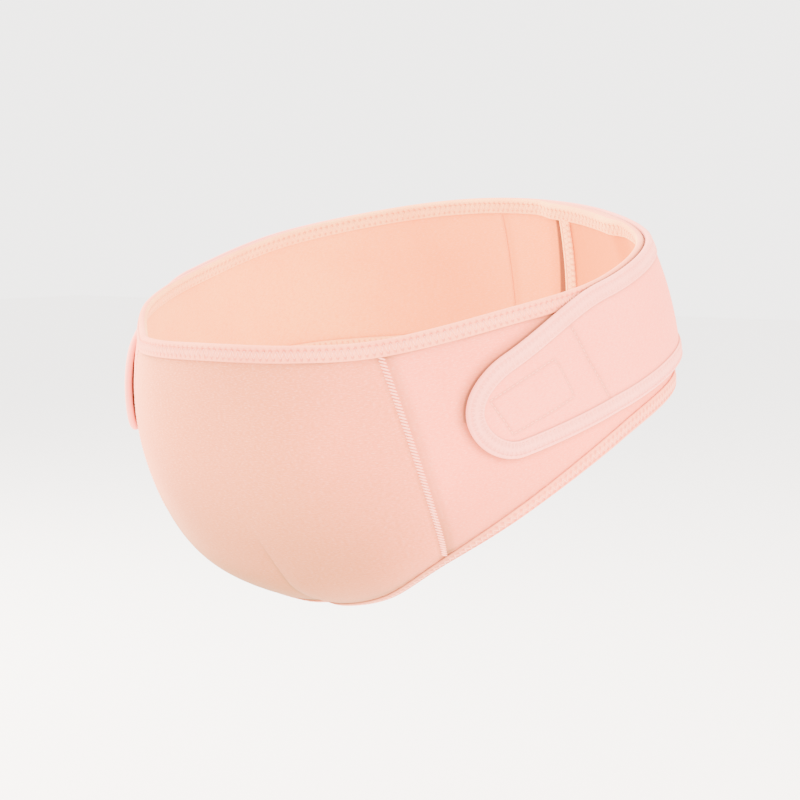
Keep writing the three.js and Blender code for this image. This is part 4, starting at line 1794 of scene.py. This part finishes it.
@dataclass
class OuterBand:
    """The outer band round the back, with a tapered tab on each side and its binding.

    The cross seam and the patch's outline are points on a tab, each a girth from the centre
    front and a way down from the rim.
    """

    face: BeltFace
    finishes: Wardrobe
    threads: Threads
    lift: float = 2.9
    wall: float = 2.0
    tip: float = 148.0
    tip_length: float = 30.0
    tip_height: float = 56.0
    height: float = 74.0
    taper: float = 100.0
    centre: float = 39.0
    tip_drop: float = 19.0
    tape: float = TAPE_WIDTH
    hidden: float = 2.2
    spacing: float = 1.5
    rows: int = 40
    tip_points: int = 34
    tip_first: float = 0.02
    after_tip: float = 1.6
    lead_rows: int = 4
    relief_rows: int = 3
    stitch: Stitch = Stitch(2.9, 2.0, 0.45, 0.32)
    stitch_start: float = 0.3
    stitch_out: float = 0.05
    edge_stitch: Stitch = Stitch(3.0, 2.0, 0.42, 0.34)
    edge_stitch_sunk: float = 0.12
    foot_ease: float = 1.1
    cover_turn: float = 1.5
    cover_points: int = 16
    cover_start: float = 4.0
    cover_step: float = 6.0
    cover_reach: float = 420.0
    cross_seam: tuple = ((221.0, 12.0), (231.3, 41.8), (243.5, 66.0))
    cross_lean: float = 0.417
    seam_dent: Line = Line(0.5, 1.0)
    # Painted shade along the cross seam
    seam_line: Line = Line(0.26, 0.8)
    seam_shadow: Line = Line(0.08, 3.0)
    behind_seam: float = 0.22
    behind_rise: Step = Step(0.0, 2.0)
    behind_end: Step = Step(330.0, -60.0)
    # Painted shade on the cloth beside the binding
    tape_line: Line = Line(0.3, 0.8, 4.0)
    patch_outline: tuple = (
        (163.2, 47.9), (185.0, 41.2), (206.9, 34.8), (209.5, 38.3), (216.0, 57.0),
        (215.6, 58.8), (194.0, 64.4), (172.4, 69.7),
    )
    patch_dent: Line = Line(0.45, 1.0)
    # Painted shade along the patch's edge
    patch_line: Line = Line(0.26, 0.9)
    patch_rise: float = 0.38
    patch_slope: float = 3.0
    dents: float = 0.18
    dent_lengths: tuple = (17.0, 21.0)
    dent_start: float = 0.8
    patch_start: float = 3.5
    patch_length: float = 53.0
    patch_height: float = 27.0
    patch_room: float = 1.75
    patch_wall: float = 2.0
    patch_lift: float = 0.3
    patch_soft: float = 0.35
    patch_tip: tuple = (5.0, 20.0)
    patch_points: tuple = (36, 19)

    def _centre(self, x: np.ndarray) -> np.ndarray:
        """Returns the band's middle line, by the way from a tab's tip."""
        return self.centre + self.tip_drop * (1 - smooth(x / (self.taper + self.tape)))

    def _half(self, x: np.ndarray) -> np.ndarray:
        """Measures the band.

        Args:
            x: ways from a tab's tip.

        Returns:
            Half the band's height there.
        """
        t = np.clip(x / self.tip_length, 0, 1)
        blunt = np.sqrt(np.maximum(0.0, 1 - (1 - t) ** 2))
        more = (self.height - self.tip_height) / 2
        return self.tip_height / 2 * blunt + more * smooth(x / self.taper)

    def _outline(self) -> tuple[np.ndarray, np.ndarray, np.ndarray]:
        """Draws the band's upper and lower edge from one tab's tip round to the other's.

        Returns:
            Girths and ways down of the upper and the lower edge.
        """
        whole = 2 * (self.face.half_girth - self.tip)
        turn = np.linspace(self.tip_first, 1, self.tip_points) * math.pi / 2
        tip = self.tip_length * (1 - np.cos(turn))
        rest = np.arange(self.tip_length + self.after_tip, whole / 2, self.spacing)
        half = np.concatenate([tip, rest])
        x = np.concatenate([half, [whole / 2], whole - half[::-1]])
        from_tip = np.minimum(x, whole - x)
        top = self._centre(from_tip) - self._half(from_tip)
        foot = self._centre(from_tip) + self._half(from_tip)
        return self.tip + x, top, foot

    def _path(self) -> TapePath:
        """Follows the band's whole edge.

        Returns:
            The path.
        """
        girth, top, foot = self._outline()
        station = self.face.station_at(girth)
        stations = np.concatenate([station, station[::-1]])
        return TapePath(self.face, stations, np.concatenate([top, foot[::-1]]), True)

    def _folded(self, girth: np.ndarray) -> np.ndarray:
        """Returns girths measured forward from the back on either side."""
        return np.minimum(girth, 2 * self.face.half_girth - girth)

    @staticmethod
    def _distance(girth: np.ndarray, down: np.ndarray, line: np.ndarray) -> np.ndarray:
        """Measures how far places lie from a line.

        Args:
            girth: ways round.
            down: ways down from the rim.
            line: the line's points, as girths and ways down.

        Returns:
            The distances.
        """
        best = np.full(np.shape(girth), np.inf)
        for (x0, y0), (x1, y1) in zip(line[:-1], line[1:]):
            dx, dy = x1 - x0, y1 - y0
            t = np.clip(((girth - x0) * dx + (down - y0) * dy) / (dx * dx + dy * dy), 0, 1)
            best = np.minimum(best, np.hypot(girth - x0 - t * dx, down - y0 - t * dy))
        return best

    def cover(self, girth: np.ndarray, down: np.ndarray) -> np.ndarray:
        """Works out how far places lie under the band, which sets the painted shadow beside and
        under it.

        Args:
            girth: ways round.
            down: ways down from the rim.

        Returns:
            Millimetres in from the band's edge, on top of COVER_EDGE.
        """
        g = self._folded(np.mod(girth, 2 * self.face.half_girth))
        x = g - self.tip
        top = self._centre(x) - self._half(x)
        foot = self._centre(x) + self._half(x)
        tip = self.tip_length * (1 - np.cos(np.linspace(0, self.cover_turn, self.cover_points)))
        rest = np.arange(self.tip_length + self.cover_start, self.cover_reach, self.cover_step)
        edge_x = np.concatenate([tip, rest])
        middle, half = self._centre(edge_x), self._half(edge_x)
        near = [self._distance(g, down, np.stack([self.tip + edge_x, middle + sign * half], -1))
                for sign in (-1, 1)]
        inside = (x > 0) & (down > top) & (down < foot)
        upper, lower = (np.where(inside, d, -d) for d in near)
        lower = lower - self.foot_ease
        return COVER_EDGE + np.where(inside, np.minimum(upper, lower), np.maximum(upper, lower))

    def _inside(self, girth: np.ndarray, down: np.ndarray) -> np.ndarray:
        """Works out where the patch shows through the cloth.

        Args:
            girth: ways round.
            down: ways down from the rim.

        Returns:
            A smooth 0 to 1 inside the patch's outline.
        """
        outline = np.array(self.patch_outline)
        ahead = np.roll(outline, -1, 0)
        depth = np.full(np.shape(girth), np.inf)
        for (x0, y0), (x1, y1) in zip(outline, ahead):
            length = math.hypot(x1 - x0, y1 - y0)
            side = ((x1 - x0) * (down - y0) - (y1 - y0) * (girth - x0)) / length
            depth = np.minimum(depth, side)
        return smooth(depth / self.patch_slope)

    @property
    def _closed_outline(self) -> tuple:
        """The patch's outline with its first point again at the end."""
        return (*self.patch_outline, self.patch_outline[0])

    def _ways(self, girth: np.ndarray, down: np.ndarray) -> tuple:
        """Measures places against the lines sewn on a tab.

        Args:
            girth: ways round.
            down: ways down from the rim.

        Returns:
            Girths folded to one side, and the ways to the cross seam and to the patch's edge.
        """
        g = self._folded(girth)
        seam = self._distance(g, down, np.array(self.cross_seam))
        return g, seam, self._distance(g, down, np.array(self._closed_outline))

    def _relief(self, girth: np.ndarray, down: np.ndarray) -> np.ndarray:
        """Works out the band's low relief: the cross seam and the patch that shows through.

        Args:
            girth: ways round.
            down: ways down from the rim.

        Returns:
            Lifts off the band's outer face.
        """
        g, seam, edge = self._ways(girth, down)
        side = self.cross_seam[0][0] + (down - self.cross_seam[0][1]) * self.cross_lean
        round_dents, down_dents = self.dent_lengths
        relief = self.patch_rise * self._inside(g, down)
        relief = relief - self.seam_dent.at(seam) - self.patch_dent.at(edge)
        relief = relief + self.behind_seam * self.behind_rise.at(g - side) * self.behind_end.at(g)
        sway = np.sin(g / round_dents + self.dent_start) * np.sin(down / down_dents)
        return relief + self.dents * sway

    def _shade(self, girth: np.ndarray, down: np.ndarray) -> np.ndarray:
        """Works out the band's painted shade along its seam and the patch's edge.

        Args:
            girth: ways round.
            down: ways down from the rim.

        Returns:
            How deep the colour is, 0 to 1.
        """
        _, seam, edge = self._ways(girth, down)
        return self.seam_line.at(seam) + self.seam_shadow.at(seam) + self.patch_line.at(edge)

    def _cloth(self, path: TapePath) -> bpy.types.Object:
        """Makes the band's cloth between the upper and the lower edge.

        Args:
            path: the band's whole edge.

        Returns:
            The cloth's object.
        """
        count = (len(path.arc) - 1) // 2
        upper = slice(0, count)
        lower = slice(2 * count - 1, count - 1, -1)

        def inwards(part: slice, way: float) -> np.ndarray:
            """Returns a part of the edge moved into the cloth."""
            return np.stack([path.station[part] + path.step[part, 0] * way,
                             path.down[part] + path.step[part, 1] * way], axis=-1)

        first, last = inwards(upper, self.hidden), inwards(lower, self.hidden)
        top, foot = inwards(upper, self.tape), inwards(lower, self.tape)
        share = np.linspace(0, 1, self.rows + 1)[None, :, None]
        middle = top[:, None] + (foot - top)[:, None] * share
        lead = np.linspace(0, 1, self.lead_rows + 1)[None, :-1, None]
        head = first[:, None] + (top - first)[:, None] * lead
        tail = foot[:, None] + (last - foot)[:, None] * (1 - lead[:, ::-1])
        grid = np.concatenate([head, middle, tail], axis=1)
        station, down = grid[..., 0], grid[..., 1]
        girth = self.face.girth_of(station)
        row = np.arange(grid.shape[1])
        from_edge = np.minimum(row, row[::-1])
        fade = np.clip((from_edge - self.relief_rows) / self.relief_rows, 0, 1)
        outer = self.lift + self.wall + self._relief(girth, down) * fade
        # Painted shade on the outer face; the inner face lies under full painted shadow
        shade = self._shade(girth, down) * fade + self.tape_line.at(from_edge)
        return Wall(station, down, outer, outer - self.wall, shade,
                    inner_cover=COVER_MOST).build("outer_band_cloth", self.face)

    def _row(self, name: str, lines: list) -> bpy.types.Object:
        """Sews straight stitches along lines on both tabs.

        Args:
            name: the piece's name.
            lines: lines of girths and ways down.

        Returns:
            One object of all the stitches.
        """
        stitch = self.stitch
        starts, ends, outs = [], [], []
        for line in lines:
            line = np.array(line)
            gaps = np.hypot(*np.diff(line, axis=0).T)
            arc = np.concatenate([[0], np.cumsum(gaps)])
            marks = np.arange(self.stitch_start, arc[-1] - stitch.length, stitch.pitch)
            for side in Side:
                both = []
                for shift in (0.0, stitch.length):
                    girth = np.interp(marks + shift, arc, line[:, 0])
                    down = np.interp(marks + shift, arc, line[:, 1])
                    station = self.face.station_at(girth * side.value)
                    lift = self.lift + self.wall + self._relief(girth, down) + self.stitch_out
                    both.append(self.face.place(station, down, lift))
                starts.append(both[0])
                ends.append(both[1])
                outs.append(self.face.out(station, down))
        return self.threads.sew(name, np.concatenate(starts), np.concatenate(ends),
                                np.concatenate(outs), stitch.width, stitch.height)

    def _edge_row(self, path: TapePath, tape: FoldedTape) -> bpy.types.Object:
        """Sews the straight row that holds the band's binding, on its outer leg.

        Args:
            path: the band's whole edge.
            tape: the binding.

        Returns:
            The row's object.
        """
        stitch, even = self.edge_stitch, path.evenly(self.spacing)
        count = round(even.length / stitch.pitch)
        marks = np.arange(count) * even.length / count
        across = np.full(count, tape.seam_rows[1])
        starts = even.at(marks, across)
        ends = even.at(marks + stitch.length, across)
        lift = tape.high + tape.over - self.edge_stitch_sunk
        return self.threads.sew(
            "outer_band_edge_row", self.face.place(*starts, lift), self.face.place(*ends, lift),
            self.face.out(*starts), stitch.width, stitch.height)

    def build(self) -> list[bpy.types.Object]:
        """Makes and dresses the band, its binding and its stitches.

        Returns:
            Their objects.
        """
        f = self.finishes
        path = self._path()
        cloth = self._cloth(path)
        dress(cloth, "band_fabric", f.band, f.band)
        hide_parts("support_band")
        tape = FoldedTape(high=self.lift + self.wall, low=self.lift, seam_rows=(2.6, 8.3),
                          crown=0.4)
        binding = tape.build("outer_band_tape", path.evenly(self.spacing), None, 0.0)
        dress(binding, "band_binding", f.band_edge, f.band_edge)
        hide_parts("support_band_binding")
        rows = self._row("tab_stitches", [self.cross_seam, self._closed_outline])
        dress(rows, "band_binding", f.thread)
        edge_row = self._edge_row(path, tape)
        dress(edge_row, "band_binding", f.thread)
        return [cloth, binding, rows, edge_row]

    def patch(self, side: Side) -> bpy.types.Object:
        """Makes and dresses the hook-and-loop patch under one tab.

        Args:
            side: the tab's side.

        Returns:
            The patch's object.
        """
        columns, rows = self.patch_points
        start = self.tape + self.patch_start
        x = np.linspace(start, start + self.patch_length, columns)
        round_from, round_length = self.patch_tip
        blunt = np.sqrt(np.minimum(1, (x - start + round_from) / round_length))
        half = np.minimum(self.patch_height / 2 * blunt,
                          self._half(x) - self.tape - self.patch_room)
        share = np.linspace(-1, 1, rows)
        down = self._centre(x)[:, None] + half[:, None] * share
        station = self.face.station_at(side.value * (self.tip + x))[:, None] + np.zeros_like(down)
        inner = np.full_like(down, self.patch_lift)
        outer = inner + self.patch_wall - self.patch_soft * np.abs(share) ** 6
        name = f"hook_patch_{side.name.lower()}"
        piece = Wall(station, down, outer, inner).build(name, self.face)
        dress(piece, "fastening_patch", self.finishes.patch, self.finishes.patch)
        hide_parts(f"fastening_patch_{side.name.lower()}")
        return piece


@dataclass(frozen=True)
class Lamp:
    """One soft square light."""

    name: str
    place: tuple
    aim: tuple
    size: float
    power: float
    colour: tuple

    def hang(self) -> None:
        """Adds the light to the scene."""
        data = bpy.data.lights.new(self.name, "AREA")
        data.shape = "SQUARE"
        data.size = self.size
        data.energy = self.power
        data.color = self.colour
        lamp = bpy.data.objects.new(self.name, data)
        lamp.location = self.place
        lamp.rotation_mode = "QUATERNION"
        way = Vector(self.aim) - Vector(self.place)
        lamp.rotation_quaternion = way.to_track_quat("-Z", "Y")
        bpy.context.scene.collection.objects.link(lamp)


@dataclass
class Studio:
    """The floor, the soft lights and the camera at the photograph's angle, in metres."""

    azimuth: float = 36.0
    elevation: float = 5.0
    distance: float = 1.5
    lens: float = 108.0
    sensor: float = 36.0
    clip: tuple = (0.05, 50.0)
    floor_drop: float = -0.30
    floor_size: float = 12.0
    sky_colour: tuple = (1.0, 0.97, 0.94, 1.0)
    sky_strength: float = 4.3
    lamps: tuple = (
        Lamp("left", (-1.75, -0.55, 0.8), (0, -0.05, 0), 1.0, 215.0, (1.0, 0.91, 0.80)),
        Lamp("right", (1.9, -0.5, 0.5), (0, 0, 0), 1.2, 95.0, (1.0, 0.86, 0.78)),
        Lamp("top", (0.0, 0.2, 1.9), (0, 0, 0), 1.2, 60.0, (1.0, 0.88, 0.77)),
    )

    def build(self) -> None:
        """Makes the whole studio."""
        bpy.ops.object.select_all(action="DESELECT")
        bpy.ops.mesh.primitive_plane_add(size=self.floor_size, location=(0, 0, 0))
        floor = bpy.context.object
        floor.name = "floor"
        bpy.ops.object.mode_set(mode="EDIT")
        bpy.ops.transform.translate(value=(0, 0, self.floor_drop))
        bpy.ops.object.mode_set(mode="OBJECT")
        floor.data.materials.append(StudioPaper().make())
        world = bpy.data.worlds.new("studio")
        world.use_nodes = True
        back = world.node_tree.nodes["Background"]
        back.inputs["Color"].default_value = self.sky_colour
        back.inputs["Strength"].default_value = self.sky_strength
        bpy.context.scene.world = world
        for lamp in self.lamps:
            lamp.hang()
        camera = bpy.data.cameras.new("camera")
        camera.lens = self.lens
        camera.sensor_width = self.sensor
        camera.clip_start, camera.clip_end = self.clip
        holder = bpy.data.objects.new("camera", camera)
        a, e = math.radians(self.azimuth), math.radians(self.elevation)
        back_way = Vector((math.sin(a) * math.cos(e), -math.cos(a) * math.cos(e), math.sin(e)))
        holder.location = back_way * self.distance
        holder.rotation_mode = "QUATERNION"
        holder.rotation_quaternion = (-back_way).to_track_quat("-Z", "Y")
        bpy.context.scene.collection.objects.link(holder)
        bpy.context.scene.camera = holder


def main() -> None:
    """Builds the belt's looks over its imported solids, piece by piece."""
    logging.basicConfig(level=logging.INFO, format="%(message)s")
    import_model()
    face = BeltFace()
    closure = Closure(face)
    finishes = Wardrobe.make()
    threads = Threads()
    Studio().build()
    band = OuterBand(face, finishes, threads)
    # band.cover sets the painted shadow that the band lays on the panels and the tapes
    Panels(face, closure, finishes, threads, band.cover).build()
    EdgeTapes(face, closure, finishes, threads, band.cover).build()
    band.build()
    for side in Side:
        band.patch(side)


if __name__ == "__main__":
    main()
